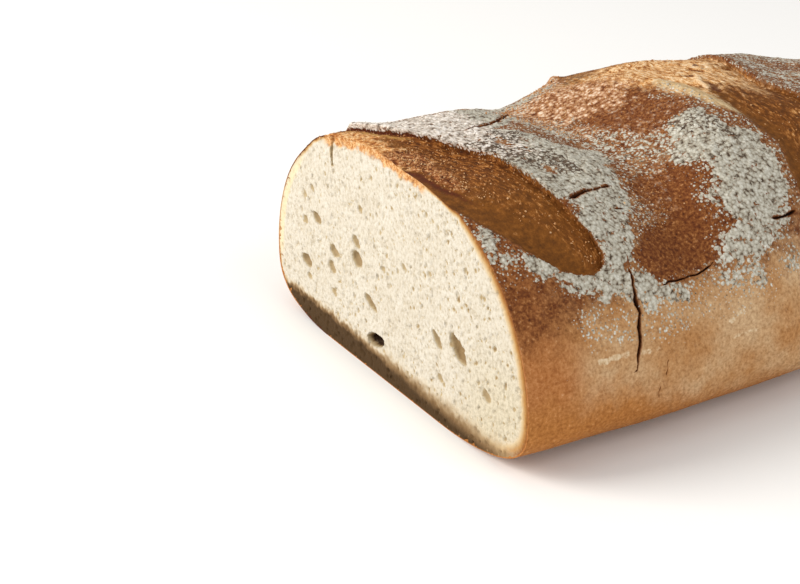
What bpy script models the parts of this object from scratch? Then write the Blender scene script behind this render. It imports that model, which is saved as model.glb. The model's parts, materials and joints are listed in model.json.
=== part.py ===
"""Oval wheat loaf, slashed, floured and cut across, lying on its flat base.

Metres, +Z up. +X runs from the flat cut face to the rounded end, Z = 0 is the
base, and the origin is the middle of the loaf's bounding box on the base.
While it is shaped, X = 0 is the cut face and Y = 0 is the cut face's middle.
"""
import bpy
import bmesh
import math
import numpy as np
from mathutils import Vector

# ---- Driving dimensions -------------------------------------------------
LENGTH = 0.2420          # cut face to the tip of the rounded end
WIDEST_X = 0.0440        # where the loaf is widest, from the cut face
CUT_HALF_WIDTH = 0.0780  # half of the width across the cut face
BELLY = 0.0212           # height of the widest line above the base
NEAR_BASE = 0.40         # half-width of the flat base over that of the belly
FAR_BASE = 0.54
MIDDLE_Y = -0.0015       # the middle line's place at the cut face
DRIFT = 0.030            # how far the middle line leans to +Y, per X

# Roundness of the plan, of the section and of the turn under it (2: ellipse)
PLAN_ROUND = 2.20
SECTION_SIDE = 2.70
SECTION_TOP = 1.86
UNDER_SIDE = 1.90
UNDER_BASE = 3.20

# The crest's line, from the cut face to the rounded end
SPINE_STRAIGHT = 0.140   # the sections stand square across as far as this
SPINE_END = 0.185        # the sections of the round end fan out from here
CREST_X = (0.0, 0.012, 0.030, 0.050, 0.066, 0.080, 0.092, 0.118, 0.135, 0.150, 0.165, 0.175, 0.185)
CREST_Z = (0.0755, 0.0755, 0.0766, 0.0752, 0.0718, 0.0766, 0.0810, 0.0838, 0.0822, 0.0795,
           0.0776, 0.0762, 0.0742)

# Slow unevenness of a hand-shaped loaf: wave length and two phases each
UNEVEN = 0.0006
UNEVEN_WAVES = ((0.083, 0.3, 0.4), (0.059, 1.9, 2.2), (0.041, 4.0, 1.1))

# The slashes: lips as places (Y, X), from the near tip to the far one, and
# the stretch of Y over which the raised far lip (the ear) dies away
SLASHES = (
    dict(
        near_lip=((-0.0650, 0.0360), (-0.0620, 0.0240), (-0.0590, 0.0135), (-0.0550, 0.0080),
                  (-0.0500, 0.0038), (-0.0430, -0.0005), (-0.0200, -0.0090), (0.0, -0.0140),
                  (0.0620, -0.0080)),
        far_lip=((-0.0650, 0.0360), (-0.0500, 0.0335), (-0.0370, 0.0315), (-0.0200, 0.0280),
                 (-0.0050, 0.0225), (0.0050, 0.0180), (0.0150, 0.0135), (0.0300, 0.0105),
                 (0.0450, 0.0080), (0.0620, -0.0080)),
        near_depth=0.0007, far_depth=0.0013, ear=0.0012, overhang=0.0016, ear_end=(0.0300, 0.0400)),
    dict(
        near_lip=((-0.0660, 0.1240), (-0.0620, 0.1140), (-0.0550, 0.1120), (-0.0450, 0.1135),
                  (-0.0330, 0.1105), (-0.0200, 0.1055), (-0.0050, 0.1025), (0.0070, 0.1000),
                  (0.0200, 0.0950), (0.0420, 0.0880), (0.0640, 0.1080)),
        far_lip=((-0.0660, 0.1240), (-0.0560, 0.1380), (-0.0400, 0.1430), (-0.0220, 0.1405),
                 (-0.0080, 0.1385), (0.0080, 0.1380), (0.0220, 0.1385), (0.0420, 0.1430),
                 (0.0560, 0.1330), (0.0640, 0.1080)),
        near_depth=0.0016, far_depth=0.0014, ear=0.0010, overhang=0.0012, ear_end=(0.0060, 0.0240)),
)
LIP_SOFT = 0.0030        # the floor's run down from the near lip
STEP_SOFT = 0.0012       # the far lip's steep step
EAR_RUN = 0.0070         # how fast the raised far lip falls back to the crust
TIP_RUN = 0.0120         # slash width under which its depth fades to nothing
SLASH_FLOOR_Z = 0.0340   # slashes reach no lower than this on the sides

# Cracks in the crust as places (X, turn): the turn, in degrees, runs from the
# near belly line (0) over the crest (90) to the far belly line (180)
CRACKS = (
    dict(path=((0.0421, 42), (0.0412, 35), (0.0408, 29), (0.0398, 23), (0.0387, 17), (0.0370, 11)),
         half_width=0.0006, depth=0.0030),
    dict(path=((0.0510, 33.5), (0.0582, 34.5), (0.0648, 33.5), (0.0719, 35)),
         half_width=0.0005, depth=0.0024),
    dict(path=((0.0955, 39), (0.1018, 38), (0.1083, 38.5)), half_width=0.0005, depth=0.0022),
    dict(path=((0.0396, 65), (0.0451, 67.5), (0.0510, 68), (0.0544, 66)),
         half_width=0.0008, depth=0.0028),
    dict(path=((0.0460, 93), (0.0540, 98), (0.0620, 102), (0.0670, 106)),
         half_width=0.0008, depth=0.0026),
)

# Open holes in the crumb: (Y, Z), width, height, lean in degrees, depth
HOLES = (
    ((0.0081, 0.0114), 0.0112, 0.0048, -14, 0.0060),
    ((-0.0415, 0.0283), 0.0112, 0.0056, 37, 0.0040),
    ((-0.0295, 0.0266), 0.0072, 0.0036, 40, 0.0028),
    ((0.0112, 0.0230), 0.0088, 0.0034, 24, 0.0030),
    ((0.0203, 0.0348), 0.0072, 0.0056, 10, 0.0034),
    ((0.0208, 0.0404), 0.0054, 0.0034, 24, 0.0024),
    ((0.0559, 0.0217), 0.0078, 0.0044, 10, 0.0034),
    ((0.0360, 0.0320), 0.0062, 0.0042, 15, 0.0026),
    ((0.0376, 0.0258), 0.0056, 0.0042, 20, 0.0024),
    ((0.0478, 0.0395), 0.0060, 0.0038, 10, 0.0030),
    ((-0.0571, 0.0201), 0.0054, 0.0036, 10, 0.0024),
)
TOP_SPLIT = dict(y=0.0362, top=0.0720, bottom=0.0555, half_width=0.0009, depth=0.0050)

# Mesh: the spacing round the outline, and the rows from crest to base. Some
# lines of the mesh bend to follow the far lips: their X, which slash, how far
# to both sides the lines bend with them, and by how much at most
SPACING = 0.0036
ROWS = 29
BASE_ROWS = 2
LIP_LINES = ((0.0220, 0, 0.0215, 0.0115), (0.1390, 1, 0.0200, 0.0060))
HOLE_RINGS = 6
HOLE_SIDES = 10

CRUST_COLOUR = (0.386, 0.184, 0.075)
CRUST_ROUGHNESS = 0.62


# ---- Curves -------------------------------------------------------------
def smooth_curve(value, knots, heights):
    """A smooth curve through a few knots, flat beyond both ends."""
    knots = np.asarray(knots, float)
    heights = np.asarray(heights, float)
    slopes = np.gradient(heights, knots)
    value = np.clip(value, knots[0], knots[-1])
    k = np.clip(np.searchsorted(knots, value) - 1, 0, len(knots) - 2)
    gap = knots[k + 1] - knots[k]
    t = (value - knots[k]) / gap
    start = (1 + 2 * t) * (1 - t) ** 2 * heights[k] + t * (1 - t) ** 2 * gap * slopes[k]
    end = t * t * (3 - 2 * t) * heights[k + 1] + t * t * (t - 1) * gap * slopes[k + 1]
    return start + end


def ease(value, low, high):
    """0 below low, 1 above high, with a smooth run between."""
    t = np.clip((value - low) / (high - low), 0.0, 1.0)
    return t * t * (3 - 2 * t)


def even_steps(length, count):
    """Indices (with fractions) that share a running length evenly."""
    targets = np.linspace(0.0, length[-1], count)
    return np.interp(targets, length, np.arange(len(length)))


# ---- The plain loaf -----------------------------------------------------
def middle_line(x):
    return MIDDLE_Y + DRIFT * x


def oval(turn):
    """Plan outline: turn 0 is the tip, positive turns are the near side."""
    reach = LENGTH - WIDEST_X
    widest = CUT_HALF_WIDTH / (1 - (WIDEST_X / reach) ** PLAN_ROUND) ** (1 / PLAN_ROUND)
    power = 2 / PLAN_ROUND
    x = WIDEST_X + reach * np.sign(np.cos(turn)) * np.abs(np.cos(turn)) ** power
    y = middle_line(x) - widest * np.sign(turn) * np.abs(np.sin(turn)) ** power
    return x, y


def spine_foot(x):
    """Where on the spine the section of the outline point at x starts."""
    run = np.clip((x - SPINE_STRAIGHT) / (LENGTH - SPINE_STRAIGHT), 0.0, 1.0)
    fan = SPINE_END - SPINE_STRAIGHT
    squeeze = (LENGTH - SPINE_STRAIGHT) / fan
    return np.where(x > SPINE_STRAIGHT, SPINE_STRAIGHT + fan * (1 - (1 - run) ** squeeze), x)


def section(turn, outline_turn):
    """Share of the half-width, and of the height, at a turn of the section.

    From 90 (crest) through 0 (belly line) to -90 (the flat base's edge).
    """
    base = (NEAR_BASE + FAR_BASE) / 2 + (NEAR_BASE - FAR_BASE) / 2 * np.sin(outline_turn)
    up = np.radians(np.clip(turn, 0, 90))
    down = np.radians(np.clip(-turn, 0, 90))
    out = np.cos(up) ** (2 / SECTION_SIDE)
    under = base + (1 - base) * np.cos(down) ** (2 / UNDER_SIDE)
    share = np.where(turn >= 0, out, under)
    rise = np.sin(up) ** (2 / SECTION_TOP)
    sink = np.sin(down) ** (2 / UNDER_BASE)
    return share, rise, sink


def plain_point(outline_turn, turn):
    """A point of the plain loaf, without slashes."""
    x, y = oval(outline_turn)
    foot = spine_foot(x)
    share, rise, sink = section(turn, outline_turn)
    crest = smooth_curve(foot, CREST_X, CREST_Z)
    z = BELLY + (crest - BELLY) * rise - BELLY * sink
    middle = middle_line(foot)
    return np.stack([foot + (x - foot) * share, middle + (y - middle) * share, z], axis=-1)


def outline_turn_at(x):
    """The near side's outline turn where the outline passes x."""
    share = (np.asarray(x) - WIDEST_X) / (LENGTH - WIDEST_X)
    return np.arccos(np.sign(share) * np.abs(share) ** (PLAN_ROUND / 2))


# ---- Relief -------------------------------------------------------------
def unevenness(points):
    """Slow swells of the crust, none on the base and none at the cut."""
    total = np.zeros(len(points))
    for length, shift_a, shift_b in UNEVEN_WAVES:
        k = 2 * math.pi / length
        total += np.sin(k * (points[:, 0] + 0.4 * points[:, 2]) + shift_a) * \
            np.cos(k * (points[:, 1] - 0.5 * points[:, 2]) + shift_b)
    return UNEVEN * total * ease(points[:, 2], 0.002, 0.016) * ease(points[:, 0], 0.0, 0.02)


def slash_relief(points, slash):
    """How far a slash lifts the surface, and how far it pulls it along X."""
    x, y, z = points.T
    near = smooth_curve(y, *zip(*slash["near_lip"]))
    far = smooth_curve(y, *zip(*slash["far_lip"]))
    tips = (slash["near_lip"][0][0], slash["near_lip"][-1][0])
    there = ease(far - near, 0.0, TIP_RUN) * ease(z, SLASH_FLOOR_Z, SLASH_FLOOR_Z + 0.006)
    there = there * (y > tips[0]) * (y < tips[1])
    past_near = x - near
    past_far = x - far
    run = np.clip(past_near / np.maximum(far - near, 1e-4), 0.0, 1.0)
    depth = slash["near_depth"] + (slash["far_depth"] - slash["near_depth"]) * run
    inside = ease(past_near, 0.0, LIP_SOFT) * (1 - ease(past_far, -STEP_SOFT, 0.0))
    raised = 1 - ease(y, *slash["ear_end"])
    ear = slash["ear"] * raised * np.exp(-np.maximum(past_far, 0.0) / EAR_RUN) * ease(past_far, -STEP_SOFT, 0.0)
    lift = there * (ear - depth * inside)
    pull = -there * raised * slash["overhang"] * np.exp(-np.abs(past_far) / (2 * STEP_SOFT)) * \
        ease(past_far, -STEP_SOFT, 0.0)
    return lift, pull * ease(x, 0.0, 0.006)


def surface(outline_turn, turn):
    """The loaf's surface with its swells and slashes."""
    step = 0.01
    points = plain_point(outline_turn, turn)
    across = plain_point(outline_turn + step, turn) - plain_point(outline_turn - step, turn)
    along = plain_point(outline_turn, turn + 1.0) - plain_point(outline_turn, turn - 1.0)
    normal = np.cross(across, along)
    normal /= np.maximum(np.linalg.norm(normal, axis=1, keepdims=True), 1e-12)
    normal *= np.where(normal[:, 2:] * (points[:, 2:] - BELLY) < 0, -1.0, 1.0)
    normal[turn > 88.0] = (0.0, 0.0, 1.0)
    at_cut = points[:, 0] < 1e-6
    normal[at_cut, 0] = 0.0
    lift = unevenness(points)
    pull = np.zeros(len(points))
    for slash in SLASHES:
        more_lift, more_pull = slash_relief(points, slash)
        lift += more_lift
        pull += more_pull
    points = points + normal * lift[:, None]
    points[:, 0] += pull
    points[:, 0] = np.maximum(points[:, 0], 0.0)
    points[:, 2] = np.maximum(points[:, 2], 0.0)
    return points


# ---- Mesh ---------------------------------------------------------------
def outline_stations():
    """Outline turns, alike on both sides, with a close pair at each lip line."""
    turns = np.linspace(float(outline_turn_at(0.0)), 0.0, 4001)
    x, y = oval(turns)
    length = np.concatenate([[0.0], np.cumsum(np.hypot(np.diff(x), np.diff(y)))])
    stops = [0.0, length[-1]]
    for lip_x, *_ in LIP_LINES:
        stops += [float(np.interp(lip_x + side, x, length)) for side in (-STEP_SOFT, 0.0)]
    stops.sort()
    places = [0.0]
    for start, end in zip(stops, stops[1:]):
        count = max(1, round((end - start) / SPACING))
        places += [start + (end - start) * k / count for k in range(1, count + 1)]
    near = np.interp(places, length, turns)
    return np.concatenate([near, -near[-2::-1]])


def follow_lips(outline_turn, turn):
    """The outline turn, shifted so that the lip lines run along the lips."""
    x, _ = oval(outline_turn)
    share = section(turn, outline_turn)[0]
    shift = np.zeros(len(turn))
    for lip_x, index, reach, bend in LIP_LINES:
        widest = np.abs(oval(outline_turn)[1] - middle_line(x))
        y = middle_line(x) - np.sign(outline_turn) * share * widest
        lip = smooth_curve(y, *zip(*SLASHES[index]["far_lip"]))
        near_line = np.clip(1 - ((x - lip_x) / reach) ** 2, 0.0, 1.0) ** 2
        shift += np.clip(lip - lip_x, -bend, bend) * near_line * ease(turn, 12, 34)
    moved = outline_turn_at(np.clip(x + shift, 0.0, LENGTH))
    return np.where(np.abs(shift) > 0, np.sign(outline_turn) * moved, outline_turn)


def section_rows():
    """Turns of the section's rows, evenly spaced along its curve."""
    turns = np.linspace(90.0, -90.0, 2001)
    share, rise, sink = section(turns, 0.0)
    y = CUT_HALF_WIDTH * share
    z = BELLY + (CREST_Z[0] - BELLY) * rise - BELLY * sink
    length = np.concatenate([[0.0], np.cumsum(np.hypot(np.diff(y), np.diff(z)))])
    return np.interp(even_steps(length, ROWS), np.arange(len(turns)), turns)


def crust_shell(bm):
    """The crust from crest to base, row by row, closed by the cut face."""
    stations = outline_stations()
    rows = section_rows()
    grid = []
    for station in stations:
        column = surface(follow_lips(np.full(ROWS, station), rows), rows)
        foot = spine_foot(oval(station)[0])
        middle = np.array([foot, middle_line(foot), 0.0])
        for k in range(1, BASE_ROWS + 1):
            column = np.vstack([column, column[ROWS - 1] + (middle - column[ROWS - 1]) * k / BASE_ROWS])
        grid.append([bm.verts.new(p) for p in column])
    for left, right in zip(grid, grid[1:]):
        for k in range(len(left) - 1):
            bm.faces.new((left[k], left[k + 1], right[k + 1], right[k]))
    bmesh.ops.remove_doubles(bm, verts=bm.verts, dist=1e-5)
    bmesh.ops.dissolve_degenerate(bm, edges=bm.edges, dist=1e-6)
    bmesh.ops.holes_fill(bm, edges=[e for e in bm.edges if e.is_boundary], sides=0)
    bmesh.ops.recalc_face_normals(bm, faces=bm.faces)


def add_object(name, bm):
    mesh = bpy.data.meshes.new(name)
    bm.to_mesh(mesh)
    bm.free()
    piece = bpy.data.objects.new(name, mesh)
    bpy.context.scene.collection.objects.link(piece)
    return piece


def hole_cutter(index, hole):
    """A flattened bubble, half of it in front of the cut face."""
    (y, z), width, height, lean, depth = hole
    bm = bmesh.new()
    bmesh.ops.create_uvsphere(bm, u_segments=HOLE_SIDES, v_segments=HOLE_RINGS, radius=1.0)
    turn = math.radians(lean)
    for vert in bm.verts:
        deep, flat, tall = vert.co.z * depth, vert.co.x * width / 2, vert.co.y * height / 2
        vert.co = Vector((deep, y + flat * math.cos(turn) - tall * math.sin(turn),
                          z + flat * math.sin(turn) + tall * math.cos(turn)))
    bmesh.ops.recalc_face_normals(bm, faces=bm.faces)
    return add_object(f"cutter_hole_{index}", bm)


def blade(name, ridge, sides, outward, half_width, depth):
    """A wedge along a path: its edge cuts inward, its back stays outside."""
    bm = bmesh.new()
    rings = []
    last = len(ridge) - 1
    for k, (point, side, out) in enumerate(zip(ridge, sides, outward)):
        fine = 0.35 if k in (0, last) else 1.0
        rings.append([bm.verts.new(point + side * half_width * fine + out * depth * 0.4),
                      bm.verts.new(point - side * half_width * fine + out * depth * 0.4),
                      bm.verts.new(point - out * depth * fine)])
    for one, two in zip(rings, rings[1:]):
        for k in range(3):
            bm.faces.new((one[k], one[(k + 1) % 3], two[(k + 1) % 3], two[k]))
    bm.faces.new(rings[0])
    bm.faces.new(reversed(rings[-1]))
    bmesh.ops.recalc_face_normals(bm, faces=bm.faces)
    return add_object(name, bm)


def crack_cutter(index, crack):
    """A blade that follows a crack through the crust."""
    path_x, path_turn = np.array(crack["path"], float).T
    side = np.where(path_turn > 90, -1.0, 1.0)
    outline = side * outline_turn_at(path_x)
    turn = 90 - np.abs(90 - path_turn)
    points = surface(outline, turn)
    higher = surface(outline, turn + 2.0)
    further = surface(outline - 0.01, turn)
    along = np.gradient(points, axis=0)
    outward = np.cross(further - points, higher - points) * side[:, None]
    outward /= np.linalg.norm(outward, axis=1, keepdims=True)
    sides = np.cross(along, outward)
    sides /= np.linalg.norm(sides, axis=1, keepdims=True)
    return blade(f"cutter_crack_{index}", points, sides, outward, crack["half_width"], crack["depth"])


def split_cutter():
    """The short split that runs down from the crust into the crumb."""
    heights = np.linspace(TOP_SPLIT["top"] + 0.002, TOP_SPLIT["bottom"], 4)
    points = np.array([(0.0, TOP_SPLIT["y"] + 0.0006 * (-1) ** k, z) for k, z in enumerate(heights)])
    sides = np.tile((0.0, 1.0, 0.0), (len(points), 1))
    outward = np.tile((-1.0, 0.0, 0.0), (len(points), 1))
    return blade("cutter_split", points, sides, outward, TOP_SPLIT["half_width"], TOP_SPLIT["depth"])


def cut_away(piece, cutters):
    """Take the cutters out of the piece, then remove them."""
    group = bpy.data.collections.new("cutters")
    bpy.context.scene.collection.children.link(group)
    for cutter in cutters:
        bpy.context.scene.collection.objects.unlink(cutter)
        group.objects.link(cutter)
    modifier = piece.modifiers.new("openings", "BOOLEAN")
    modifier.operation = "DIFFERENCE"
    modifier.operand_type = "COLLECTION"
    modifier.collection = group
    modifier.solver = "EXACT"
    shaped = bpy.data.meshes.new_from_object(piece.evaluated_get(bpy.context.evaluated_depsgraph_get()))
    piece.modifiers.clear()
    piece.data = shaped
    for cutter in cutters:
        bpy.data.objects.remove(cutter)
    bpy.data.collections.remove(group)


def crust_material():
    material = bpy.data.materials.new("baked_crust")
    material.use_nodes = True
    shader = material.node_tree.nodes["Principled BSDF"]
    shader.inputs["Base Color"].default_value = (*CRUST_COLOUR, 1.0)
    shader.inputs["Roughness"].default_value = CRUST_ROUGHNESS
    shader.inputs["Metallic"].default_value = 0.0
    return material


def centre_on_base(piece):
    """Move the mesh so that its box's middle is at X = Y = 0, base at Z = 0."""
    corners = np.array([v.co for v in piece.data.vertices])
    low, high = corners.min(axis=0), corners.max(axis=0)
    shift = Vector((-(low[0] + high[0]) / 2, -(low[1] + high[1]) / 2, -low[2]))
    for vert in piece.data.vertices:
        vert.co += shift


def main():
    for leftover in list(bpy.data.objects):
        bpy.data.objects.remove(leftover)
    bm = bmesh.new()
    crust_shell(bm)
    loaf = add_object("loaf", bm)
    cutters = [hole_cutter(k, hole) for k, hole in enumerate(HOLES)]
    cutters += [crack_cutter(k, crack) for k, crack in enumerate(CRACKS)]
    cutters.append(split_cutter())
    cut_away(loaf, cutters)
    centre_on_base(loaf)
    loaf.data.materials.clear()
    loaf.data.materials.append(crust_material())
    loaf.data.shade_smooth()
    loaf.data.set_sharp_from_angle(angle=math.radians(35))


main()
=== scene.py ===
"""Looks of the oval wheat loaf: floured crust with two opened slashes, and the crumb at the cut.

Metres, +Z up. Everything is shaped in the cut frame: X = 0 is the cut face, +X
runs to the rounded end, Y = 0 is the cut face's middle and Z = 0 the base. The
near side is -Y. Each finished mesh is then moved, once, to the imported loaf's place.
"""
import functools
import json
import math

import bmesh
import bpy
import numpy as np
from mathutils import Matrix, Vector, noise

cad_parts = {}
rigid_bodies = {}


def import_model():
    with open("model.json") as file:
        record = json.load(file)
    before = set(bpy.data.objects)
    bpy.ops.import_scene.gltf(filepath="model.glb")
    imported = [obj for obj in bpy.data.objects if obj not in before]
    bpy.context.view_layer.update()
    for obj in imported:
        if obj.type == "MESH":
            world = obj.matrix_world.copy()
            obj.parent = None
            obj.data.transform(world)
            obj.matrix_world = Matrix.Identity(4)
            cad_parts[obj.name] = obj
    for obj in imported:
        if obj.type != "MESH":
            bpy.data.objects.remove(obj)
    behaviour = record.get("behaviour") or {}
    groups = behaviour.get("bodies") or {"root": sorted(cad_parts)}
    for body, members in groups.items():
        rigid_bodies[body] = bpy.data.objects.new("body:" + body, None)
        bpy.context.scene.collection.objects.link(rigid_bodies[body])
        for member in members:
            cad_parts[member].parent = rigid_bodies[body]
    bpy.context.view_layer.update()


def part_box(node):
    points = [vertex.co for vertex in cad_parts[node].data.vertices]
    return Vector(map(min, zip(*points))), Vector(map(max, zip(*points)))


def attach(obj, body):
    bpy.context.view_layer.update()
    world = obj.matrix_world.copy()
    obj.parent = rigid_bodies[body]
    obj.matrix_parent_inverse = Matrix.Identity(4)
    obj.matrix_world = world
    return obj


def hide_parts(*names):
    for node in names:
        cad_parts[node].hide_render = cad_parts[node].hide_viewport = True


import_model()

MM = 0.001

# ---- Where the loaf stands, and how the photo looks at it ----------------
FROM_CUT = Vector((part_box("loaf")[0].x, 0.00039, 0.0))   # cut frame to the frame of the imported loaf
AIM = Vector((0.03887, 0.06035, 0.0))                    # what the camera looks at, in the cut frame
CAMERA_DISTANCE = 0.6347
CAMERA_AZIMUTH = -29.65
CAMERA_ELEVATION = 23.42
CAMERA_LENS = 81.07

# ---- The plain loaf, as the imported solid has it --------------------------
LENGTH = 0.2420          # cut face to the tip of the rounded end
WIDEST_X = 0.0440        # where the loaf is widest, from the cut face
CUT_HALF_WIDTH = 0.0780  # half of the width across the cut face
BELLY = 0.0212           # height of the widest line above the base
NEAR_BASE = 0.40         # half-width of the flat base over that of the belly
FAR_BASE = 0.54
MIDDLE_Y = -0.0015       # the middle line's place at the cut face
DRIFT = 0.030            # how far the middle line leans to +Y, per X
PLAN_ROUND = 2.20        # roundness of the plan and of the section (2: ellipse)
SECTION_SIDE = 2.70
SECTION_TOP = 1.86
UNDER_SIDE = 1.90
UNDER_BASE = 3.20
SPINE_STRAIGHT = 0.140   # the sections stand square across as far as this
SPINE_END = 0.185        # the sections of the round end fan out from here
CREST_X = (0.0, 0.012, 0.030, 0.050, 0.066, 0.080, 0.092, 0.118, 0.135, 0.150, 0.165, 0.175, 0.185)
CREST_Z = (0.0755, 0.0755, 0.0766, 0.0752, 0.0718, 0.0766, 0.0810, 0.0838, 0.0822, 0.0795,
           0.0776, 0.0762, 0.0742)
UNEVEN = 0.0006          # slow unevenness of a hand-shaped loaf
UNEVEN_WAVES = ((0.083, 0.3, 0.4), (0.059, 1.9, 2.2), (0.041, 4.0, 1.1))

# The slashes: lips as places (Y, X), from the near tip to the far one, the stretch of Y over
# which the raised far lip (the ear) dies away, how wide the near lip frays, near and far, and
# whether the floor comes up towards the far tip all across, or by the near lip alone
SLASHES = (
    dict(
        near_lip=((-0.0662, 0.0300), (-0.0655, 0.0262), (-0.0643, 0.0222), (-0.0622, 0.0186),
                  (-0.0590, 0.0152), (-0.0550, 0.0112), (-0.0500, 0.0064), (-0.0430, 0.0012),
                  (-0.0200, -0.0085), (0.0, -0.0140), (0.0620, -0.0080)),
        far_lip=((-0.0662, 0.0300), (-0.0655, 0.0335), (-0.0638, 0.0358), (-0.0600, 0.0360),
                 (-0.0500, 0.0335), (-0.0370, 0.0315), (-0.0200, 0.0280),
                 (-0.0050, 0.0225), (0.0050, 0.0182), (0.0150, 0.0138), (0.0300, 0.0102),
                 (0.0400, 0.0080), (0.0480, 0.0050), (0.0620, -0.0080)),
        near_depth=0.0009, far_depth=0.0018, ear=0.0013, overhang=0.0016,
        ear_end=(0.0350, 0.0412), fray=(0.0012, 0.0012), rises_across=True),
    dict(
        near_lip=((-0.0660, 0.1240), (-0.0620, 0.1140), (-0.0550, 0.1120), (-0.0450, 0.1135),
                  (-0.0330, 0.1105), (-0.0200, 0.1055), (-0.0050, 0.1025), (0.0070, 0.1000),
                  (0.0200, 0.0950), (0.0420, 0.0880), (0.0640, 0.1080)),
        far_lip=((-0.0660, 0.1240), (-0.0560, 0.1380), (-0.0400, 0.1430), (-0.0220, 0.1405),
                 (-0.0080, 0.1385), (0.0080, 0.1380), (0.0220, 0.1385), (0.0420, 0.1430),
                 (0.0560, 0.1330), (0.0640, 0.1080)),
        near_depth=0.0018, far_depth=0.0016, ear=0.0010, overhang=0.0012,
        ear_end=(0.0060, 0.0240), fray=(0.0014, 0.0110), rises_across=False),
)
LIP_SOFT = 0.0030        # the floor's run down from the near lip
STEP_SOFT = 0.0009       # the far lip's steep step
EAR_RUN = 0.0070         # how fast the raised far lip falls back to the crust
TIP_RUN = 0.0120         # slash width under which its depth fades to nothing
SLASH_FLOOR_Z = 0.0340   # slashes reach no lower than this on the sides
CLOSING = (0.018, 0.006) # they close over this stretch of Y before their far tip
FLOOR_RISE = (-0.008, 0.014)   # Y over which the floor comes up, by the share of its depth below
FLOOR_RISEN = 0.80
BETWEEN_X = 0.060        # divides what belongs to the first slash from what belongs to the second

# Forms round the first slash: stretches of Y over which each comes up, and dies away
FLAP = ((0.0060, 0.0260), (0.0360, 0.0412))      # the crust past its far lip, lifted as a flap
FLAP_LIFT = 0.0015
FLAP_RUN = 0.014                                 # how fast the flap falls back to the crust
SUNK = ((0.0406, 0.0420), (0.0560, 0.0700))      # the flap's far end, which sank and lies bare
SUNK_DEPTH = 0.0008
SHOULDER = ((0.0260, 0.0480), (0.0560, 0.0800))  # the cut's fuller shoulder behind the flap
SHOULDER_LIFT = 0.0006
PIT = (0.0236, -0.0559, 0.0610)                  # a small pit near the slash's near tip, only painted, as a dark spot of shade
# On the ridge between the slashes: a dip, with its middle and half-width in X and in Y, and a knob
DIP = ((0.0940, 0.0110), (0.0350, 0.0100))
DIP_DEPTH = 0.0022
KNOB = (0.0945, 0.0500, 0.0712)
KNOB_RADIUS = 0.0024
KNOB_HEIGHT = 0.0020

# Cracks as places (X, turn): 0 is the near belly line, 90 the crest
CRACKS = (
    dict(path=((0.0422, 42), (0.0414, 35), (0.0406, 31), (0.0408, 26), (0.0398, 20.4), (0.0392, 16),
               (0.0380, 12), (0.0375, 8.5)), half_width=0.00046, depth=0.0020),
    dict(path=((0.0490, 31.5), (0.0553, 33.2), (0.0609, 33.8), (0.0657, 34.3), (0.0691, 34.9),
               (0.0725, 36)), half_width=0.00030, depth=0.0012),
    dict(path=((0.0955, 39), (0.1018, 38), (0.1083, 38.5)), half_width=0.00045, depth=0.0014),
    dict(path=((0.0345, 61.6), (0.0367, 62.5), (0.0404, 63.7), (0.0454, 64.6), (0.0505, 65.4),
               (0.0530, 65.6)), half_width=0.00066, depth=0.0026),
    dict(path=((0.0470, 57.5), (0.0500, 57.2), (0.0545, 57.8)), half_width=0.00024, depth=0.0008),
    dict(path=((0.0300, 91.3), (0.0379, 92.8), (0.0426, 93.5), (0.0482, 95.1), (0.0560, 100),
               (0.0630, 106)), half_width=0.00060, depth=0.0020),
    dict(path=((0.0484, 10), (0.0482, 7), (0.0479, 4)), half_width=0.00022, depth=0.0005),
    dict(path=((0.0456, 0.5), (0.0459, -3)), half_width=0.00020, depth=0.0004),
)


# ---- Curves --------------------------------------------------------------
def smooth_curve(value, knots, heights):
    """A smooth curve through a few knots, flat beyond both ends."""
    knots = np.asarray(knots, float)
    heights = np.asarray(heights, float)
    slopes = np.gradient(heights, knots)
    value = np.clip(value, knots[0], knots[-1])
    k = np.clip(np.searchsorted(knots, value) - 1, 0, len(knots) - 2)
    gap = knots[k + 1] - knots[k]
    t = (value - knots[k]) / gap
    start = (1 + 2 * t) * (1 - t) ** 2 * heights[k] + t * (1 - t) ** 2 * gap * slopes[k]
    end = t * t * (3 - 2 * t) * heights[k + 1] + t * t * (t - 1) * gap * slopes[k + 1]
    return start + end


def ease(value, low, high):
    """0 below low, 1 above high, with a smooth run between."""
    t = np.clip((value - low) / (high - low), 0.0, 1.0)
    return t * t * (3 - 2 * t)


def fade(value, low, high):
    """1 below low, 0 above high, with a smooth run between."""
    return 1 - ease(value, low, high)


def span(value, rise, fall):
    """0, then 1 past the first smooth run, then 0 again past the second."""
    return ease(value, *rise) * fade(value, *fall)


def bell(value, middle, half_width):
    """1 at the middle, falling smoothly to both sides."""
    return np.exp(-((value - middle) / half_width) ** 2)


def swell(points, size, seed=0.0):
    """Smooth noise between about -1 and 1, its swells a given size apart."""
    return np.array([noise.noise(p) for p in (points / size + seed * 17.3).tolist()])


def grit(points, size, seed=0.0, octaves=3):
    """Rough noise of a few octaves, between about -1 and 1."""
    return np.array([noise.fractal(p, 0.7, 2.0, octaves) for p in (points / size + seed * 11.7).tolist()])


def lumps(points, size, seed=0.0):
    """Round lumps that touch, a given size apart: 1 on top of each, 0 or less in the gaps."""
    near = [noise.voronoi(p)[0] for p in (points / size + seed * 13.1).tolist()]
    return 1.0 - 1.6 * np.array([gaps[0] for gaps in near])


# ---- The plain loaf ------------------------------------------------------
def middle_line(x):
    return MIDDLE_Y + DRIFT * x


def oval(turn):
    """Plan outline: turn 0 is the tip, positive turns are the near side."""
    reach = LENGTH - WIDEST_X
    widest = CUT_HALF_WIDTH / (1 - (WIDEST_X / reach) ** PLAN_ROUND) ** (1 / PLAN_ROUND)
    power = 2 / PLAN_ROUND
    x = WIDEST_X + reach * np.sign(np.cos(turn)) * np.abs(np.cos(turn)) ** power
    y = middle_line(x) - widest * np.sign(turn) * np.abs(np.sin(turn)) ** power
    return x, y


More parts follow.
